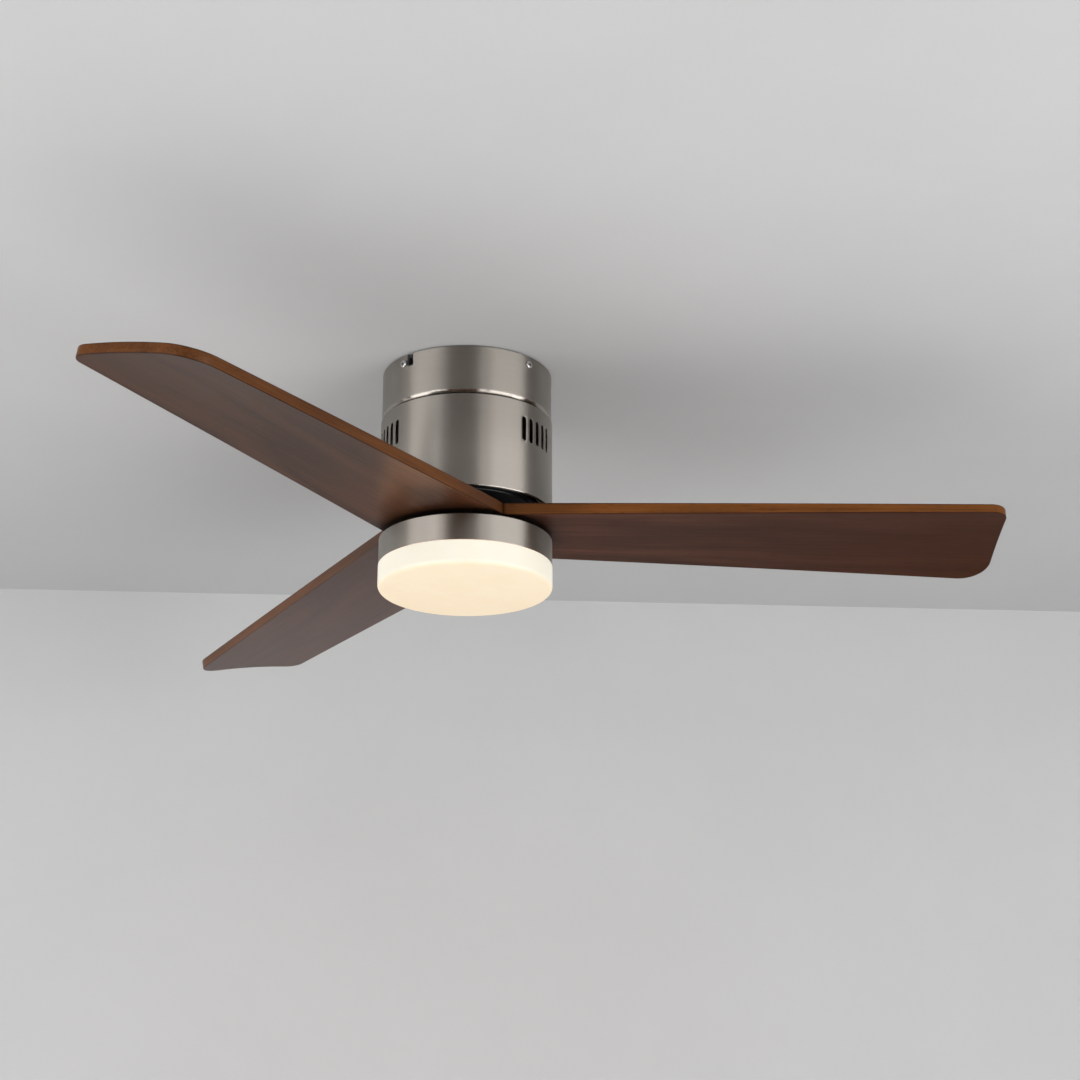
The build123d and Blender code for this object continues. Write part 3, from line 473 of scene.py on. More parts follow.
@dataclass(frozen=True)
class WalnutFinish:
    """Dark stained walnut: brown faces with painted light toward the tip, orange-brown edges with a painted
    shade near the root, dark arrises, and painted shade in crevices.
    """

    name: str = "walnut"
    face_light: Colour = (0.105, 0.046, 0.030)
    face_dark: Colour = (0.032, 0.0135, 0.009)
    # Painted light toward the tip: a darker, redder painted shade by default, and a greyer painted sheen on
    # the grey board.
    tip_shade_and_sheen_tone: Colour = (0.05, 0.016, 0.007)
    tip_shade_and_sheen_share: float = 0.3
    edge_light: Colour = (0.162, 0.056, 0.015)
    edge_dark: Colour = (0.073, 0.025, 0.007)
    arris: Colour = (0.02, 0.008, 0.005)
    # Colour of the painted shade in gaps and under the light pan.
    crevice_shade_tone: Colour = (0.006, 0.0025, 0.0012)
    roughness: tuple[float, float] = (0.38, 0.52)
    gloss: float = 0.2
    relief: float = 0.00003
    ring_share: float = 0.15
    fibre_share: float = 0.45
    band_share: float = 0.4
    streak_span: tuple[float, float] = (0.3, 0.68)
    cloud_share: float = 0.35
    cloud_span: tuple[float, float] = (0.35, 0.7)
    pore_share: float = 0.6
    # Painted shade: the edges darken toward the arris tone near the root, over this span from the carrier.
    root_shade_share: float = 0.4
    root_shade_span: tuple[float, float] = (0.04, 0.12)
    # Reach of the painted shade: wide, so the board darkens under and near the light pan.
    crevice_shade_reach: float = 0.06
    dust_amount: float = 0.07
    dust_tone: Colour = (0.3, 0.27, 0.24)
    dust_roughness: float = 0.4

    def material(self, effects: Effects, thickness: float, arris_radius: float,
                 ends: tuple[float, float]) -> bpy.types.Material:
        """Builds the material on the board's own coordinates.

        Args:
            effects: the shared node groups.
            thickness: the board's thickness.
            arris_radius: the rounding of its corners.
            ends: the board's own coordinate at its root and at its tip.

        Returns:
            The finished material.
        """
        material, w, shader = new_material(self.name)
        place = w.node("ShaderNodeAttribute", attribute_name=BladeSet.coordinates).outputs["Vector"]
        along, _, height = w.split(place)
        half, depth = thickness / 2, w.math("ABSOLUTE", height)
        grain = effects.place(w, "wood_grain", Vector=place)
        crevice_shade = effects.place(w, "painted_crevice_shade", Reach=self.crevice_shade_reach)["Mask"]
        film = effects.place(w, "dust", Vector=place, Amount=self.dust_amount)["Mask"]
        streak = w.line(grain["Rings"], self.ring_share, w.scaled(grain["Fibres"], self.fibre_share))
        streak = w.span(w.line(grain["Bands"], self.band_share, streak), *self.streak_span)
        face = w.mix(streak, self.face_dark, self.face_light)
        cloud = w.span(grain["Cloud"], *self.cloud_span, 0.0, self.cloud_share)
        face = w.mix(cloud, face, self.face_dark)
        # Painted light: toward the tip the face turns to the tip tone.
        face = w.mix(w.span(along, *ends, 0.0, self.tip_shade_and_sheen_share), face, self.tip_shade_and_sheen_tone)
        edge = w.mix(streak, self.edge_dark, self.edge_light)
        # Painted shade: edges darker near the root, by the carrier and light pan.
        near, far = (ends[0] + distance for distance in self.root_shade_span)
        edge = w.mix(w.span(along, near, far, self.root_shade_share, 0.0), edge, self.arris)
        on_face = w.span(depth, half - 0.6 * arris_radius, half - 0.1 * arris_radius)
        near_arris = w.span(depth, half - 1.3 * arris_radius, half - 0.6 * arris_radius)
        near_arris = w.scaled(near_arris, w.math("SUBTRACT", 1.0, on_face))
        colour = w.mix(near_arris, w.mix(on_face, edge, face), self.arris)
        colour = w.mix(w.scaled(grain["Pores"], self.pore_share), colour, self.arris)
        # Painted shade: the board darkens where the light pan and carrier crowd it.
        colour = w.mix(crevice_shade, colour, self.crevice_shade_tone)
        w.feed(shader.inputs["Base Color"], w.mix(film, colour, self.dust_tone))
        low, high = self.roughness
        rough = w.line(grain["Fibres"], high - low, low)
        w.feed(shader.inputs["Roughness"], w.line(film, self.dust_roughness, rough, clamp=True))
        w.bump(shader, w.math("SUBTRACT", grain["Fibres"], grain["Pores"]), self.relief)
        shader.inputs["Specular IOR Level"].default_value = self.gloss
        return material


@dataclass(frozen=True)
class OpalFinish:
    """Opal cover lit from inside: near-white side, and a warmer bottom that fades away from the front."""

    name: str = "opal_acrylic"
    body_light: Colour = (0.55, 0.52, 0.46)
    body_dark: Colour = (0.53, 0.49, 0.42)
    roughness: tuple[float, float] = (0.34, 0.4)
    relief: float = 0.00001
    pitch: float = 900.0
    side_glow: Colour = (0.63, 0.595, 0.49)
    front_glow: Colour = (0.70, 0.545, 0.335)
    back_glow: Colour = (0.64, 0.47, 0.27)
    rim_tone: Colour = (0.14, 0.06, 0.04)
    rim_line: float = 0.0018
    rim_share: float = 0.3
    shade_height: float = 0.25
    shade_share: float = 0.85
    turn_span: tuple[float, float] = (0.1, 0.85)
    cloud_size: float = 30.0
    strength: float = 0.8
    cast: Colour = (6.0, 3.2, 2.1)

    def material(self, effects: Effects, low: Vector, high: Vector) -> bpy.types.Material:
        """Builds the material.

        Args:
            effects: the shared node groups.
            low: the cover's lowest corner.
            high: the cover's highest corner.

        Returns:
            The finished material.
        """
        material, w, shader = new_material(self.name)
        coordinates = w.node("ShaderNodeTexCoord").outputs
        place = coordinates["Object"]
        _, y, z = w.split(place)
        down = w.scaled(w.split(coordinates["Normal"])[2], -1.0)
        bottom = w.mix(w.span(y, low.y, high.y), self.front_glow, self.back_glow)
        glow = w.mix(w.span(down, *self.turn_span), self.side_glow, bottom)
        shade = high.z - self.shade_height * (high.z - low.z)
        glow = w.mix(w.span(z, shade, high.z, 1.0, self.shade_share), BLACK, glow)
        glow = w.mix(w.span(z, high.z - self.rim_line, high.z, 1.0, self.rim_share), self.rim_tone, glow)
        rays = w.node("ShaderNodeLightPath").outputs
        cast = w.math("ADD", rays["Is Diffuse Ray"], rays["Is Glossy Ray"], clamp=True)
        stronger = w.vector_math("MULTIPLY", glow, self.cast).outputs[0]
        w.feed(shader.inputs["Emission Color"], w.mix(cast, glow, stronger))
        shader.inputs["Emission Strength"].default_value = self.strength
        material.cycles.emission_sampling = "NONE"
        cloud = effects.place(w, "handling", Vector=place, Size=self.cloud_size)["Cloud"]
        w.feed(shader.inputs["Base Color"], w.mix(cloud, self.body_light, self.body_dark))
        smooth, rough = self.roughness
        w.feed(shader.inputs["Roughness"], w.line(cloud, rough - smooth, smooth))
        w.bump(shader, w.noise(place, self.pitch, 2.0), self.relief)
        return material


@dataclass(frozen=True)
class PlasterFinish:
    """Pale matt plaster, seen from its front only, that changes tone from the room to the wall."""

    name: str
    near_tone: Colour
    far_tone: Colour
    reach: float
    patch_size: float = 3.0
    patch_share: float = 0.5
    patch_dark: float = 0.05
    roughness: float = 0.9
    gloss: float = 0.1
    relief: float = 0.0001
    pitch: float = 260.0
    contact_gap: float = 0.001

    def material(self, effects: Effects) -> bpy.types.Material:
        """Builds the material, which lets light through onto a piece that all but touches it.

        Args:
            effects: the shared node groups.

        Returns:
            The finished material.
        """
        material, w, shader = new_material(self.name)
        place = w.node("ShaderNodeTexCoord").outputs["Object"]
        cloud = effects.place(w, "handling", Vector=place, Size=self.patch_size)["Cloud"]
        tone = w.mix(w.span(w.split(place)[1], -self.reach, self.reach), self.near_tone, self.far_tone)
        darker = w.mix(self.patch_dark, tone, BLACK)
        w.feed(shader.inputs["Base Color"], w.mix(w.scaled(cloud, self.patch_share), tone, darker))
        shader.inputs["Roughness"].default_value = self.roughness
        shader.inputs["Specular IOR Level"].default_value = self.gloss
        w.bump(shader, w.noise(place, self.pitch, 4.0), self.relief)
        clear = w.node("ShaderNodeBsdfTransparent").outputs[0]
        back = w.node("ShaderNodeNewGeometry").outputs["Backfacing"]
        length = w.node("ShaderNodeLightPath").outputs["Ray Length"]
        open_share = w.math("MAXIMUM", back, w.math("LESS_THAN", length, self.contact_gap))
        mixed = w.node("ShaderNodeMixShader", {0: open_share, 1: shader.outputs[0], 2: clear}).outputs[0]
        w.feed(material.node_tree.nodes["Material Output"].inputs["Surface"], mixed)
        return material


# The three boards are the same walnut. The differences between these finishes are painted light: painted
# shade toward the red board's tip, a greyer painted sheen on the grey board, and a warmer painted sheen
# from the lamp on the warm board.
WALNUT: tuple[WalnutFinish, ...] = (
    WalnutFinish("walnut_red", (0.12, 0.050, 0.030), (0.037, 0.015, 0.009), tip_shade_and_sheen_share=0.75, gloss=0.05,
                 edge_light=(0.195, 0.068, 0.017), edge_dark=(0.088, 0.03, 0.008)),
    WalnutFinish("walnut_grey", (0.125, 0.058, 0.038), (0.042, 0.0185, 0.012), tip_shade_and_sheen_tone=(0.12, 0.07, 0.055),
                 tip_shade_and_sheen_share=0.5, gloss=0.45),
    WalnutFinish("walnut_warm", (0.1, 0.038, 0.015), (0.031, 0.0115, 0.005), tip_shade_and_sheen_share=0.25, gloss=0.1,
                 roughness=(0.29, 0.4)),
)
NICKEL = Finish(
    "brushed_nickel", (0.44, 0.41, 0.372), (0.39, 0.363, 0.328), Texture.TURNED, roughness=(0.37, 0.46),
    relief=0.0, pitch=1400.0, anisotropy=0.96, edge_width=0.0005,
    edge_wear_and_highlight_tone=(0.86, 0.84, 0.8), edge_wear_and_highlight_share=0.5, rolled=0.5, ceiling_shade_share=0.87,
    crevice_shade_reach=0.007, crevice_shade_share=0.85, dust_amount=0.15,
)
FINISHES: tuple[Finish, ...] = (
    NICKEL,
    Finish("bright_steel", (0.8, 0.79, 0.77), (0.62, 0.61, 0.6), Texture.PLATED, pitch=600.0,
           roughness=(0.12, 0.22), edge_width=0.0002),
    Finish("zinc_steel", (0.66, 0.67, 0.68), (0.45, 0.46, 0.48), Texture.PLATED, pitch=240.0,
           roughness=(0.28, 0.45), relief=0.00001),
    Finish("ground_steel", (0.74, 0.74, 0.73), (0.55, 0.55, 0.55), Texture.TURNED, pitch=2200.0,
           roughness=(0.14, 0.26), anisotropy=0.5, relief=0.000003, dust_amount=0.05),
    Finish("cage_brass", (0.78, 0.56, 0.22), (0.5, 0.34, 0.12), Texture.STREAKED, pitch=900.0,
           roughness=(0.25, 0.4), edge_wear_and_highlight_tone=(0.9, 0.75, 0.42), dust_amount=0.05),
    Finish("earth_green", (0.08, 0.36, 0.12), (0.03, 0.2, 0.06), Texture.CAST, metallic=0.0, pitch=700.0,
           roughness=(0.3, 0.4), coat=0.3, edge_wear_and_highlight_tone=(0.3, 0.5, 0.3)),
    Finish("cast_iron", (0.085, 0.085, 0.09), (0.03, 0.03, 0.032), Texture.CAST, metallic=0.35, pitch=900.0,
           roughness=(0.5, 0.7), relief=0.00012, edge_wear_and_highlight_tone=(0.25, 0.25, 0.25)),
    Finish("cast_aluminium", (0.62, 0.63, 0.64), (0.42, 0.43, 0.44), Texture.CAST, pitch=1100.0,
           roughness=(0.38, 0.55), relief=0.00006, edge_wear_and_highlight_share=0.25),
    Finish("lamination_steel", (0.34, 0.35, 0.37), (0.08, 0.08, 0.09), Texture.SHEETED, pitch=2000.0,
           metallic=0.8, roughness=(0.4, 0.6), relief=0.00004, dust_amount=0.05),
    Finish("copper_enamel", (0.74, 0.27, 0.09), (0.3, 0.09, 0.03), Texture.WOUND, pitch=420.0,
           roughness=(0.25, 0.4), relief=0.0001, coat=0.5, edge_wear_and_highlight_tone=(0.8, 0.4, 0.2), edge_wear_and_highlight_share=0.1,
           dust_amount=0.05),
    Finish("white_plastic", (0.78, 0.78, 0.75), (0.7, 0.69, 0.65), Texture.MOULDED, metallic=0.0,
           pitch=1600.0, roughness=(0.42, 0.55), edge_wear_and_highlight_share=0.15, edge_wear_and_highlight_tone=(0.86, 0.86, 0.84)),
    Finish("black_plastic", (0.03, 0.03, 0.033), (0.014, 0.014, 0.016), Texture.MOULDED, metallic=0.0,
           pitch=1500.0, roughness=(0.45, 0.6), relief=0.00004, edge_wear_and_highlight_tone=(0.12, 0.12, 0.12),
           dust_amount=0.12),
    Finish("black_paint", (0.022, 0.022, 0.024), (0.011, 0.011, 0.012), Texture.CAST, metallic=0.0,
           pitch=800.0, coat=0.25, edge_wear_and_highlight_tone=(0.1, 0.1, 0.1)),
    Finish("red_fibre", (0.33, 0.06, 0.035), (0.2, 0.03, 0.02), Texture.CAST, metallic=0.0, pitch=1300.0,
           roughness=(0.6, 0.75), relief=0.00003, edge_wear_and_highlight_tone=(0.4, 0.12, 0.08)),
    Finish("board_white", (0.84, 0.84, 0.82), (0.76, 0.76, 0.74), Texture.MOULDED, metallic=0.0,
           pitch=400.0, roughness=(0.3, 0.4), coat=0.3, edge_wear_and_highlight_share=0.1),
    Finish("led_phosphor", (0.95, 0.78, 0.2), (0.85, 0.64, 0.1), Texture.CAST, metallic=0.0, pitch=2500.0,
           roughness=(0.25, 0.35), edge_wear_and_highlight_share=0.05, dust_amount=0.0),
    Finish("grey_sheath", (0.27, 0.27, 0.28), (0.2, 0.2, 0.21), Texture.STREAKED, metallic=0.0,
           pitch=700.0, roughness=(0.45, 0.6), edge_wear_and_highlight_share=0.05),
)


# ---------------------------------------------------------------- meshes
def grid_quads(rows: int, columns: int) -> np.ndarray:
    """Quads of a grid whose points are numbered along its rows.

    Args:
        rows: number of rows of points.
        columns: number of points in a row.

    Returns:
        One row of four point numbers per quad, in the turn from the row's way to the column's way.
    """
    numbers = np.arange(rows * columns).reshape(rows, columns)
    corners = (numbers[:-1, :-1], numbers[1:, :-1], numbers[1:, 1:], numbers[:-1, 1:])
    return np.stack(corners, axis=-1).reshape(-1, 4)


def ring_quads(rings: np.ndarray) -> np.ndarray:
    """Quads between neighbouring closed rings of points.

    Args:
        rings: one row of point numbers per ring, all the same length.

    Returns:
        One row of four point numbers per quad, each ring closed from its last point to its first.
    """
    following = np.roll(rings, -1, axis=1)
    corners = (rings[:-1], rings[1:], following[1:], following[:-1])
    return np.stack(corners, axis=-1).reshape(-1, 4)


def make_piece(name: str, points: np.ndarray, quads: np.ndarray, body: str) -> bpy.types.Object:
    """Makes a smooth-shaded mesh that rides on a CAD body.

    Args:
        name: the piece's name.
        points: one row of x, y, z per point.
        quads: one row of point numbers per face.
        body: the CAD body it rides on.

    Returns:
        The new object, which sits at the origin.
    """
    mesh = bpy.data.meshes.new(name)
    mesh.from_pydata(points.tolist(), [], quads.tolist())
    mesh.shade_smooth()
    mesh.update()
    piece = add_object(name, mesh)
    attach(piece, body)
    return piece


@dataclass
class BladeSet:
    """Three boards that twist, droop, thin and cup slightly from a flat mitred root to a rounded tip."""

    count: int = 3
    tip_radius: float = 0.660
    width: float = 0.1599
    tip_pitch: float = 12.1
    droop: float = 0.0098
    tip_thickness: float = 0.012
    cup_rise: float = 0.0013
    cup_depth: float = 0.004
    leading_corner: float = 0.020
    trailing_corner: float = 0.038
    rest_angle: float = -0.9
    root_hole: float = 0.020
    arris_radius: float = 0.0011
    along: int = 150
    corner_steps: int = 12
    middle_steps: int = 26
    arris_steps: int = 5

    coordinates = "board_position"
    log_step = (1.7, 0.31, 0.0)

    def __post_init__(self) -> None:
        """Reads the levels that the blades share with the pieces that hold them."""
        self.carrier_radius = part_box("blade_carrier")[1].x
        self.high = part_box("blade_carrier")[0].z
        self.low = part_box("blade_washers")[1].z
        self.thickness = self.high - self.low

    def across(self, inset: float) -> np.ndarray:
        """Distances across the board, dense in the two tip corners.

        Each corner is sampled evenly by angle, and the straight part between them evenly by distance.
        """
        angle = np.linspace(0.0, math.pi / 2, self.corner_steps + 1)
        lead, trail = self.leading_corner - inset, self.trailing_corner - inset
        half = self.width / 2 - inset
        first = -half + lead * (1 - np.cos(angle))
        last = half - trail * (1 - np.cos(angle[::-1]))
        middle = np.linspace(first[-1], last[0], self.middle_steps)[1:-1]
        return np.concatenate((first, middle, last))

    def root(self, y: np.ndarray, inset: float) -> np.ndarray:
        """Where the board starts: on its mitre line or, near the middle, on the round root hole."""
        mitre_angle = math.pi / self.count
        mitre = np.abs(y) / math.tan(mitre_angle) + inset / math.sin(mitre_angle)
        hole = np.sqrt(np.maximum((self.root_hole + inset) ** 2 - y**2, 0.0))
        return np.maximum(mitre, hole)

    def tip(self, y: np.ndarray, inset: float) -> np.ndarray:
        """Where the board ends: a straight line, with a quarter circle at each corner."""
        reach = np.full_like(y, self.tip_radius - inset)
        for side, corner in ((-1.0, self.leading_corner - inset), (1.0, self.trailing_corner - inset)):
            into = np.clip(side * y - (self.width / 2 - inset - corner), 0.0, corner)
            reach -= corner - np.sqrt(corner**2 - into**2)
        return reach

    def plan(self, inset: float) -> np.ndarray:
        """The board's plan as a grid: each line runs from the root to the tip at one distance across.

        Args:
            inset: how far the outline is drawn in.

        Returns:
            x and y per grid point, as an array of lines along, points across, 2.
        """
        y = self.across(inset)
        share = np.linspace(0.0, 1.0, self.along)[:, None]
        x = (1 - share) * self.root(y, inset) + share * self.tip(y, inset)
        return np.stack((x, np.broadcast_to(y, x.shape)), axis=-1)

    def bent(self, plan: np.ndarray, height: np.ndarray) -> np.ndarray:
        """Carries flat points onto the twisted board.

        Beyond the carrier the section thins, turns about its middle and sinks, all in step with the
        distance. The square of the same share cups it: its middle rises and both long edges fall.

        Args:
            plan: x and y per point.
            height: distance above the board's middle layer per point.

        Returns:
            x, y, z per point.
        """
        x, y = plan[:, 0], plan[:, 1]
        share = np.clip((x - self.carrier_radius) / (self.tip_radius - self.carrier_radius), 0.0, None)
        pitch = np.radians(self.tip_pitch) * share
        cup = (self.cup_rise - self.cup_depth * (2 * y / self.width) ** 2) * share**2
        middle = (self.high + self.low) / 2 - self.droop * share + cup
        height = height * (1 + (self.tip_thickness / self.thickness - 1) * share)
        z = middle - y * np.tan(pitch) + height * np.cos(pitch)
        return np.stack((x, y + height * np.sin(pitch), z), axis=-1)

    def board(self) -> tuple[np.ndarray, np.ndarray, np.ndarray]:
        """Builds the closed board: two caps joined by a rim that rounds both arrises.

        Returns:
            Flat positions (x, y, height), bent positions, and quads.
        """
        cap = self.plan(self.arris_radius)
        rows, columns = cap.shape[:2]
        cap = cap.reshape(-1, 2)
        numbers = np.arange(rows * columns).reshape(rows, columns)
        border = np.concatenate((numbers[:-1, 0], numbers[-1, :-1], numbers[:0:-1, -1], numbers[0, :0:-1]))
        half = self.thickness / 2
        angle = np.linspace(0.0, math.pi / 2, self.arris_steps + 1)[1:]
        inset = self.arris_radius * (1 - np.sin(angle))
        height = half - self.arris_radius * (1 - np.cos(angle))
        inset, height = np.concatenate((inset, inset[::-1])), np.concatenate((height, -height[::-1]))
        rim = np.stack([self.plan(each).reshape(-1, 2)[border] for each in inset])
        flat = np.concatenate((
            np.column_stack((cap, np.full(len(cap), half))),
            np.column_stack((cap, np.full(len(cap), -half))),
            np.column_stack((rim.reshape(-1, 2), np.repeat(height, len(border)))),
        ))
        first = 2 * len(cap)
        rings = first + np.arange(len(inset) * len(border)).reshape(len(inset), -1)
        rings = np.concatenate((border[None], rings, border[None] + len(cap)))
        top = grid_quads(rows, columns)
        quads = np.concatenate((top, top[:, ::-1] + len(cap), ring_quads(rings)))
        return flat, self.bent(flat[:, :2], flat[:, 2]), quads

    def build(self, finishes: Sequence[WalnutFinish], effects: Effects) -> None:
        """Makes the blades in place of their CAD nodes, each cut from its own part of the log.

        Args:
            finishes: each board's finish.
            effects: the shared node groups.
        """
        flat, bent, quads = self.board()
        for number in range(self.count):
            angle = math.radians(self.rest_angle + number * 360 / self.count)
            turn = np.array(Euler((0, 0, angle)).to_matrix())
            name = f"blade_{number + 1}"
            blade = make_piece(f"walnut_{name}", bent @ turn.T, quads, "rotor")
            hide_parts(name)
            start = number * np.array(self.log_step)
            place = blade.data.attributes.new(self.coordinates, "FLOAT_VECTOR", "POINT")
            place.data.foreach_set("vector", (flat + start).ravel())
            ends = (float(start[0]) + self.carrier_radius, float(start[0]) + self.tip_radius)
            material = finishes[number].material(effects, self.thickness, self.arris_radius, ends)
            blade.data.materials.append(material)
            log.info("%s: %d points", blade.name, len(blade.data.vertices))


# ---------------------------------------------------------------- turned shells
def arc(centre: Sequence[float], radius: float, start: float, end: float, steps: int = 8) -> np.ndarray:
    """Points of an arc in a section.

    Args:
        centre: its distance from the axis and its height.
        radius: its radius.
        start: degrees of its first point, from straight outward and rising upward.
        end: degrees of its last point.
        steps: how many pieces it has.

    Returns:
        One row of distance and height per point.
    """
    angle = np.radians(np.linspace(start, end, steps + 1))
    return np.column_stack((np.cos(angle), np.sin(angle))) * radius + np.asarray(centre)


def evenly(breaks: Sequence[float], step: float) -> np.ndarray:
    """Angles once round the axis that hit every break.

    Args:
        breaks: rising degrees that must be hit.
        step: about how far apart the others are.

    Returns:
        Rising degrees, without a repeat of the first one at the end.
    """
    pieces = []
    for low, high in zip(breaks, (*breaks[1:], breaks[0] + 360.0)):
        pieces.append(np.linspace(low, high, max(1, round((high - low) / step)) + 1)[:-1])
    return np.concatenate(pieces)


class Shell:
    """A closed section turned round the axis into a thin sheet, with openings cut through its wall.

    The section runs down the outside, in along the bottom, up the inside and out along the top, so that
    every face looks out of the sheet. The wall has the same rows outside and inside.
    """

    sharp_angle = 32.0

    def __init__(self, radii: Sequence[float], rows: np.ndarray, foot: np.ndarray, head: np.ndarray,
                 angles: np.ndarray) -> None:
        """Turns the section.

        Args:
            radii: the wall's outer and inner radius.
            rows: heights of the wall's rows, downwards.
            foot: section points after the outer wall's foot and before the inner wall's.
            head: section points after the inner wall's top and before the outer wall's.
            angles: degrees of the columns.
        """
        outer = np.column_stack((np.full(len(rows), radii[0]), rows))
        inner = np.column_stack((np.full(len(rows), radii[1]), rows[::-1]))
        section = np.concatenate((outer, foot, inner, head))
        turn = np.radians(angles)
        reach, height = section[:, :1], section[:, 1:]
        turned = (reach * np.cos(turn), reach * np.sin(turn), height + 0.0 * turn)
        self.points = np.stack(turned, axis=-1).reshape(-1, 3)
        self.numbers = np.arange(len(self.points)).reshape(len(section), -1)
        self.radii = radii
        self.outer = self.numbers[:len(rows)]
        self.inner_start = len(rows) + len(foot)
        self.inner = self.numbers[self.inner_start:self.inner_start + len(rows)][::-1]
        self.kept = np.ones(self.numbers.shape, dtype=bool)
        self.added: list[np.ndarray] = []

    def drop(self, gone: np.ndarray) -> None:
        """Takes cells out of the wall, outside and inside.

        Args:
            gone: for each interval between rows and each column, whether it is taken out.
        """
        self.kept[:len(gone)] &= ~gone
        self.kept[self.inner_start:self.inner_start + len(gone)] &= ~gone[::-1]

    def cut(self, gone: np.ndarray) -> None:
        """Takes cells out of the wall and the rim above it, and closes the sides of the cut.

        Args:
            gone: for each interval between rows and each column, whether it is cut away.
        """
        self.drop(gone)
        self.kept[-1] &= ~gone[0]
        before = np.roll(gone, 1, axis=1)
        for edge, turn in ((gone & ~before, 1), (~gone & before, -1)):
            i, j = np.nonzero(edge)
            side = (self.outer[i, j], self.outer[i + 1, j], self.inner[i + 1, j], self.inner[i, j])
            self.added.append(np.column_stack(side)[:, ::turn])
        for edge, turn in ((gone[:-1] & ~gone[1:], 1), (~gone[:-1] & gone[1:], -1)):
            i, j = np.nonzero(edge)
            i, following = i + 1, (j + 1) % gone.shape[1]
            side = (self.outer[i, j], self.outer[i, following], self.inner[i, following], self.inner[i, j])
            self.added.append(np.column_stack(side)[:, ::turn])

    def slot(self, rows: tuple[int, int], columns: tuple[int, int], middle: tuple[float, float],
             half_width: float, half_length: float, edge: float = 0.0002) -> None:
        """Cuts an upright round-ended slot inside a block of cells.

        Each point on the block's border moves straight towards the slot's spine. So the rings from the
        border to the slot's rounded edge, and on through the wall, all have the same number of points.

        Args:
            rows: the block's first and last row.
            columns: the block's first and last column.
            middle: the angle in degrees and the height of the slot's middle.
            half_width: half its width.
            half_length: half its length.
            edge: the rounding of its outer edge.
        """
        top, low = rows
        left, right = columns
        gone = np.zeros((len(self.outer) - 1, self.outer.shape[1]), dtype=bool)
        gone[top:low, left:right] = True
        self.drop(gone)
        borders = []
        for wall in (self.outer, self.inner):
            sides = (wall[top, left:right], wall[top:low, right], wall[low, right:left:-1],
                     wall[low:top:-1, left])
            borders.append(np.concatenate(sides))
        radius = self.radii[0]
        x, y, z = self.points[borders[0]].T
        turn = math.radians(middle[0])
        across = radius * np.arctan2(y * math.cos(turn) - x * math.sin(turn),
                                     x * math.cos(turn) + y * math.sin(turn))
        straight = half_length - half_width
        spine = np.clip(z - middle[1], -straight, straight)
        way = np.column_stack((across, z - middle[1] - spine))
        way /= np.linalg.norm(way, axis=1, keepdims=True)
        rings = [borders[0]]
        rounding = arc((half_width + edge, radius - edge), edge, 90.0, 180.0, 3)
        for reach, depth in (*rounding, (half_width, self.radii[1])):
            angle = turn + way[:, 0] * reach / radius
            height = middle[1] + spine + way[:, 1] * reach
            rings.append(len(self.points) + np.arange(len(way)))
            ring = np.column_stack((depth * np.cos(angle), depth * np.sin(angle), height))
            self.points = np.concatenate((self.points, ring))
        self.added.append(ring_quads(np.stack((*rings, borders[1]))))

    def build(self, name: str, node: str, material: bpy.types.Material) -> None:
        """Makes the mesh in place of a CAD node of the fixed body.

        Args:
            name: the piece's name.
            node: the CAD node it takes the place of.
            material: its finish.
        """
        below = np.roll(self.numbers, -1, axis=0)
        corners = (self.numbers, below, np.roll(below, -1, axis=1), np.roll(self.numbers, -1, axis=1))
        quads = np.concatenate((np.stack(corners, axis=-1)[self.kept], *self.added))
        used, quads = np.unique(quads, return_inverse=True)
        piece = make_piece(name, self.points[used], quads.reshape(-1, 4), "base")
        piece.data.set_sharp_from_angle(angle=math.radians(self.sharp_angle))
        piece.data.materials.append(material)
        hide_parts(node)
        log.info("%s: %d points", name, len(used))


@dataclass
class MotorDrum:
    """The motor housing: a drum with a rolled lip and groups of round-ended vents."""

    wall: float = 0.0012
    top_edge: float = 0.0004
    lip_radius: float = 0.0016
    lip_inset: float = 0.0032
    roof_hole: float = 0.016
    groups: int = 3
    per_group: int = 5
    first_group: float = -36.0
    pitch: float = 6.55
    slot_width: float = 0.0068
    slot_length: float = 0.0318
    slot_depth: float = 0.035
    steps_across: int = 8
    steps_along: int = 8
    end_shares: tuple[float, ...] = (0.5, 0.12, -0.22)
    wall_steps: int = 7
    rim_gap: float = 0.0004

    def build(self, material: bpy.types.Material) -> None:
        """Makes the drum in place of its CAD node."""
        low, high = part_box("motor_housing")
        radius, inner = high.x, high.x - self.wall
        middle = high.z - self.slot_depth
        half = self.slot_length / 2
        straight = half - self.slot_width / 2
        ends = half + self.slot_width * np.array(self.end_shares)
        block = np.concatenate((ends, np.linspace(straight, -straight, self.steps_along + 1), -ends[::-1]))
        lip = low.z + self.lip_radius
        below = (np.linspace(middle - ends[0], lip + self.rim_gap, self.wall_steps + 1)[1:], (lip,))
        above = (high.z - self.wall, high.z - self.wall - self.rim_gap)
        rows = np.concatenate((above, middle + block, *below))
        foot = np.concatenate((
            arc((radius - self.lip_radius, lip), self.lip_radius, 0.0, -90.0)[1:],
            ((radius - self.lip_inset, low.z), (radius - self.lip_inset, lip)),
        ))
        head = np.concatenate((
            ((self.roof_hole, high.z - self.wall), (self.roof_hole, high.z)),
            arc((radius - self.top_edge, high.z - self.top_edge), self.top_edge, 90.0, 0.0, 5),
        ))
        first = self.first_group - self.pitch * self.per_group / 2
        starts = [first + group * 360.0 / self.groups for group in range(self.groups)]
        breaks = [start + self.pitch * index for start in starts for index in range(self.per_group + 1)]
        angles = evenly(breaks, self.pitch / self.steps_across)
        shell = Shell((radius, inner), rows, foot, head, angles)
        for start in starts:
            for index in range(self.per_group):
                left = int(np.argmin(np.abs(angles - start - index * self.pitch)))
                columns = (left, left + self.steps_across)
                place = (start + (index + 0.5) * self.pitch, middle)
                shell.slot((2, 1 + len(block)), columns, place, self.slot_width / 2, half)
        shell.build("brushed_drum", "motor_housing", material)


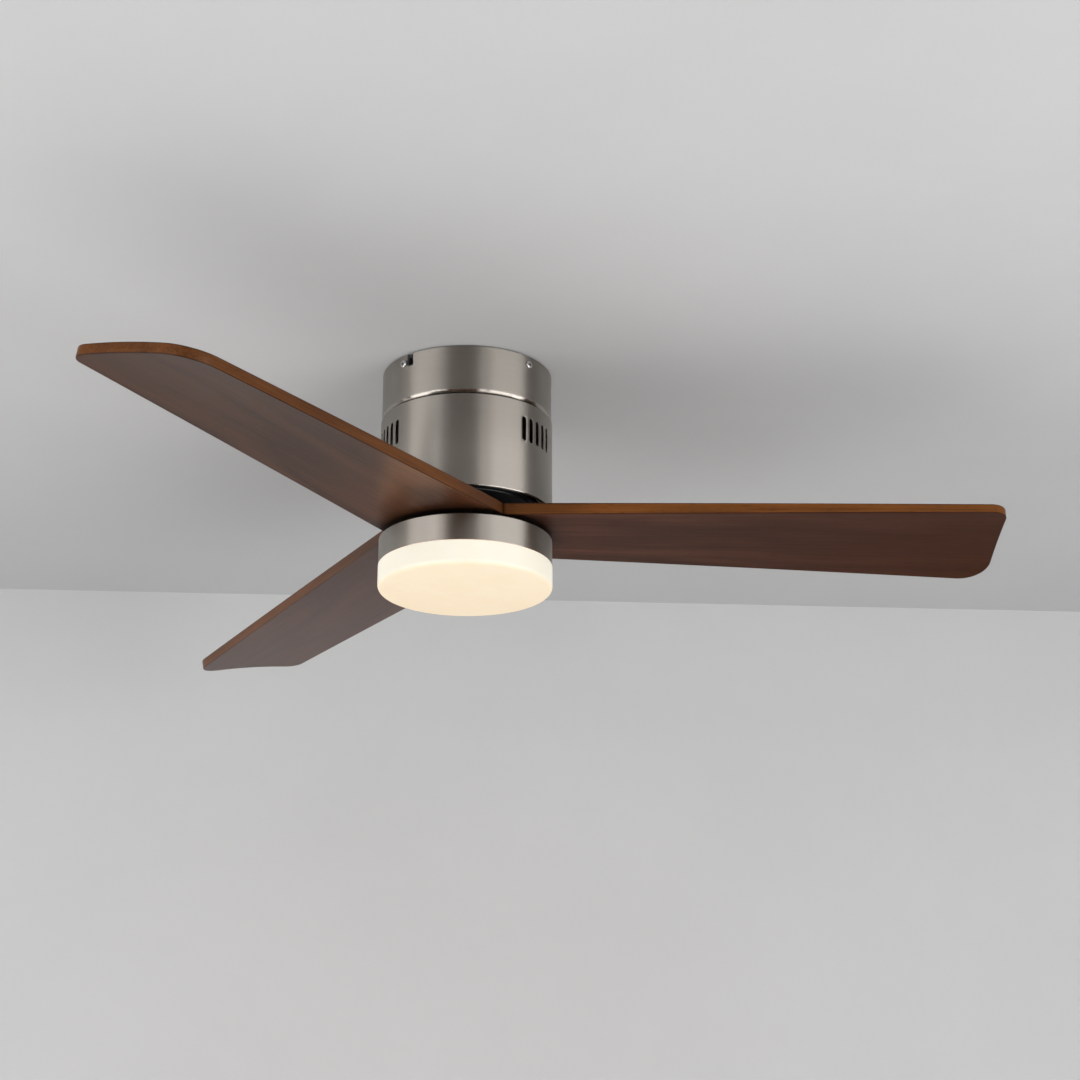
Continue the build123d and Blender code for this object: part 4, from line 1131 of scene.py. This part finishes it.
@dataclass
class CanopyCup:
    """The canopy: a cup with a rounded lower edge, plain screw holes and L-shaped notches."""

    wall: float = 0.0012
    edge: float = 0.0085
    floor_hole: float = 0.016
    notch_screw: float = 42.7
    plain_screw: float = 135.2
    screw_depth: float = 0.0109
    hole_half: float = 0.0025
    leg_half: float = 0.0047
    leg_depth: float = 0.0158
    leg_turn: float = 5.8
    wall_steps: int = 5
    edge_steps: int = 20
    inner_edge_steps: int = 12
    rim_gap: float = 0.0005
    column_step: float = 1.2
    snap: float = 0.01

    def build(self, material: bpy.types.Material) -> None:
        """Makes the cup in place of its CAD node."""
        low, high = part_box("canopy")
        radius, inner = high.x, high.x - self.wall
        screw, corner = high.z - self.screw_depth, low.z + self.edge
        openings = (high.z, screw + self.hole_half, screw - self.hole_half, high.z - self.leg_depth)
        wall = np.linspace(openings[-1], corner + self.rim_gap, self.wall_steps + 1)[1:]
        rows = np.concatenate((openings, wall, (corner,)))
        floor, inner_edge = low.z + self.wall, self.edge - self.wall
        foot = np.concatenate((
            arc((radius - self.edge, corner), self.edge, 0.0, -90.0, self.edge_steps)[1:],
            ((self.floor_hole, low.z), (self.floor_hole, floor)),
            arc((radius - self.edge, corner), inner_edge, -90.0, 0.0, self.inner_edge_steps)[:-1],
        ))
        hole = math.degrees(self.hole_half / radius)
        leg_half = math.degrees(self.leg_half / radius)
        leg = (self.leg_turn - leg_half, self.leg_turn + leg_half)
        places = (self.notch_screw, self.plain_screw, self.notch_screw + 180.0, self.plain_screw + 180.0)
        breaks = [place + turn for place in places for turn in (-hole, hole, *leg)]
        angles = evenly(breaks, self.column_step)
        shell = Shell((radius, inner), rows, foot, np.empty((0, 2)), angles)
        gone = np.zeros((len(rows) - 1, len(angles)), dtype=bool)
        for number, place in enumerate(places):
            from_screw = (angles + self.snap - place) % 360.0
            notched = number % 2 == 0
            gone[1, (from_screw < (leg[0] if notched else hole)) | (from_screw > 360.0 - hole)] = True
            if notched:
                gone[:3, (from_screw > leg[0]) & (from_screw < leg[1])] = True
        shell.cut(gone)
        shell.build("brushed_cup", "canopy", material)


@dataclass
class LightPan:
    """The light housing: a shallow pan upside down, rounded along its top."""

    wall: float = 0.001
    top_edge: float = 0.0015
    low_edge: float = 0.0003
    shaft_hole: float = 0.00805
    wall_steps: int = 4
    rim_gap: float = 0.0003
    columns: int = 360

    def build(self, material: bpy.types.Material) -> None:
        """Makes the pan in place of its CAD node."""
        low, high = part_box("light_housing")
        radius, inner = high.x, high.x - self.wall
        corner = high.z - self.top_edge
        last = low.z + self.low_edge
        wall = np.linspace(corner - self.rim_gap, last + self.rim_gap, self.wall_steps + 1)
        rows = np.concatenate(((corner,), wall, (last,)))
        foot = np.concatenate((
            arc((radius - self.low_edge, last), self.low_edge, 0.0, -90.0, 5)[1:], ((inner, low.z),),
        ))
        head = np.concatenate((
            ((inner, high.z - self.wall), (self.shaft_hole, high.z - self.wall), (self.shaft_hole, high.z)),
            arc((radius - self.top_edge, corner), self.top_edge, 90.0, 0.0)[:-1],
        ))
        angles = np.arange(self.columns) * 360.0 / self.columns
        shell = Shell((radius, inner), rows, foot, head, angles)
        shell.build("brushed_pan", "light_housing", material)


# ---------------------------------------------------------------- the CAD nodes
class Palette:
    """The fan's materials by the record's slot."""

    def __init__(self, effects: Effects) -> None:
        """Builds every finish.

        Args:
            effects: the shared node groups.
        """
        self.materials = {finish.name: finish.material(effects) for finish in FINISHES}
        opal = OpalFinish()
        self.materials[opal.name] = opal.material(effects, *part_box("diffuser"))

    def dress(self, nodes: dict[str, bpy.types.Object]) -> None:
        """Gives each shown CAD node the finish of its material slot.

        Args:
            nodes: the CAD nodes by name.
        """
        for name, node in sorted(nodes.items()):
            if node.hide_render:
                continue
            for slot in node.material_slots:
                slot.material = self.materials[slot.material.name.split(".")[0]]
            log.info("%s: %s", name, node.material_slots[0].material.name)


# ---------------------------------------------------------------- room, light and camera
@dataclass(frozen=True)
class SoftBox:
    """An area light that faces the fan."""

    name: str
    azimuth: float
    size: tuple[float, float]
    power: float
    z: float = -1.1
    distance: float = 3.0
    metal_only: bool = False

    def build(self) -> None:
        """Hangs the light at its degrees from the camera's side, positive to the right."""
        data = bpy.data.lights.new(self.name, "AREA")
        data.shape = "RECTANGLE"
        data.size, data.size_y = self.size
        data.energy = self.power
        light = add_object(self.name, data)
        turn = math.radians(self.azimuth)
        light.location = (self.distance * math.sin(turn), -self.distance * math.cos(turn), self.z)
        aim = Vector((0.0, 0.0, -0.2)) - light.location
        light.rotation_euler = aim.to_track_quat("-Z", "Y").to_euler()
        light.visible_diffuse = not self.metal_only


SOFT_BOXES: tuple[SoftBox, ...] = (
    SoftBox("left_window", -59.5, (2.2, 2.0), 43.0),
    SoftBox("right_window", 49.0, (2.2, 2.0), 42.0),
    SoftBox("far_left_strip", -90.0, (0.5, 2.0), 3.0, metal_only=True),
    SoftBox("left_strip", -32.5, (0.75, 2.0), 12.5, metal_only=True),
    SoftBox("high_strip", -39.0, (0.55, 0.28), 3.6, z=-0.16, metal_only=True),
    SoftBox("right_strip", 21.0, (0.52, 2.0), 7.0, metal_only=True),
    SoftBox("far_right_strip", 74.5, (0.6, 2.0), 14.0, metal_only=True),
)


@dataclass
class Studio:
    """A pale ceiling and wall, the room's light, and a camera that looks up at the fan."""

    ceiling_tone: Colour = (0.71, 0.71, 0.71)
    ceiling_far_tone: Colour = (0.595, 0.595, 0.595)
    wall_tone: Colour = (0.61, 0.61, 0.61)
    wall_distance: float = 0.9156
    wall_turn: float = 2.05
    room_half_width: float = 6.0
    room_depth: float = 9.0
    room_height: float = 3.0
    ceiling_gap: float = 0.0004
    ambient: float = 0.55
    backdrop: float = 0.82
    reflected: Colour = (0.13, 0.075, 0.04)
    floor_glow: float = 1.4
    floor_dark: Colour = (0.045, 0.028, 0.02)
    floor_rise: tuple[float, float] = (-0.35, -0.85)
    dark_band: tuple[float, float] = (0.12, 0.5)
    inner_light_radius: float = 0.09
    inner_light_power: float = 0.035
    camera_place: tuple[float, float, float] = (0.0, -2.7118, -1.1603)
    camera_yaw: float = 0.03402895
    camera_pitch: float = 0.33517273
    focal_length: float = 77.218

    def plane(self, points: Sequence[Sequence[float]], finish: PlasterFinish, effects: Effects) -> None:
        """Makes a flat surface of the room.

        Args:
            points: four corners, turning left as its front is looked at.
            finish: its finish, which also names it.
            effects: the shared node groups.
        """
        mesh = bpy.data.meshes.new(finish.name)
        mesh.from_pydata(points, [], [(0, 1, 2, 3)])
        mesh.materials.append(finish.material(effects))
        add_object(finish.name, mesh)

    def room(self, effects: Effects) -> None:
        """Makes the ceiling over the fan and the wall behind it."""
        slope = math.tan(math.radians(self.wall_turn))
        side, z = self.room_half_width, self.ceiling_gap
        left, right = self.wall_distance - side * slope, self.wall_distance + side * slope
        near = self.wall_distance - self.room_depth
        ceiling = ((-side, near, z), (-side, left, z), (side, right, z), (side, near, z))
        low = -self.room_height
        wall = ((-side, left, low), (side, right, low), (side, right, z), (-side, left, z))
        reach = self.wall_distance
        overhead = PlasterFinish("ceiling", self.ceiling_tone, self.ceiling_far_tone, reach)
        upright = PlasterFinish("wall", self.wall_tone, self.wall_tone, reach)
        self.plane(ceiling, overhead, effects)
        self.plane(wall, upright, effects)

    def world(self) -> None:
        """Lights the scene evenly and shows a pale backdrop wherever no surface is seen."""
        world = bpy.data.worlds.new("room_light")
        bpy.context.scene.world = world
        world.use_nodes = True
        w = Wiring(world.node_tree)
        back = world.node_tree.nodes["Background"]
        rays = w.node("ShaderNodeLightPath").outputs
        side, _, rise = w.split(w.node("ShaderNodeTexCoord").outputs["Generated"])
        beside = w.span(w.math("ABSOLUTE", side), *self.dark_band)
        floor = w.mix(beside, self.floor_dark, (self.floor_glow,) * 3)
        room = w.mix(w.span(rise, *self.floor_rise), self.reflected, floor)
        lit = w.mix(rays["Is Glossy Ray"], (self.ambient,) * 3, room)
        w.feed(back.inputs["Color"], w.mix(rays["Is Camera Ray"], lit, (self.backdrop,) * 3))
        back.inputs["Strength"].default_value = 1.0

    def lights(self) -> None:
        """Hangs the soft boxes, and a faint round light inside the canopy for views from above."""
        for soft_box in SOFT_BOXES:
            soft_box.build()
        data = bpy.data.lights.new("inner_light", "AREA")
        data.shape = "DISK"
        data.size = 2 * self.inner_light_radius
        data.energy = self.inner_light_power
        add_object("inner_light", data).visible_camera = False

    def camera(self) -> None:
        """Places the camera: low, in front of the fan, looking up."""
        data = bpy.data.cameras.new("camera")
        data.sensor_width = 36.0
        data.lens = self.focal_length
        data.clip_end = 100.0
        camera = add_object("camera", data)
        camera.location = self.camera_place
        camera.rotation_euler = (math.pi / 2 + self.camera_pitch, 0.0, -self.camera_yaw)
        bpy.context.scene.camera = camera

    def build(self, effects: Effects) -> None:
        """Makes the room, its light and the camera."""
        self.room(effects)
        self.world()
        self.lights()
        self.camera()
        bpy.context.scene.view_settings.view_transform = "Standard"


def corners(box: tuple[Vector, Vector]) -> list[list[float]]:
    """The two corners of a box as plain lists."""
    return [list(corner) for corner in box]


def main() -> None:
    """Loads the frame, builds each sub-assembly and its finishes, and builds the studio."""
    logging.basicConfig(level=logging.INFO, format="%(name)s: %(message)s")
    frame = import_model()
    effects = Effects()
    palette = Palette(effects)
    BladeSet().build(WALNUT, effects)
    for shell in (MotorDrum(), CanopyCup(), LightPan()):
        shell.build(palette.materials[NICKEL.name])
    palette.dress(frame["nodes"])
    Studio().build(effects)


if __name__ == "__main__":
    main()
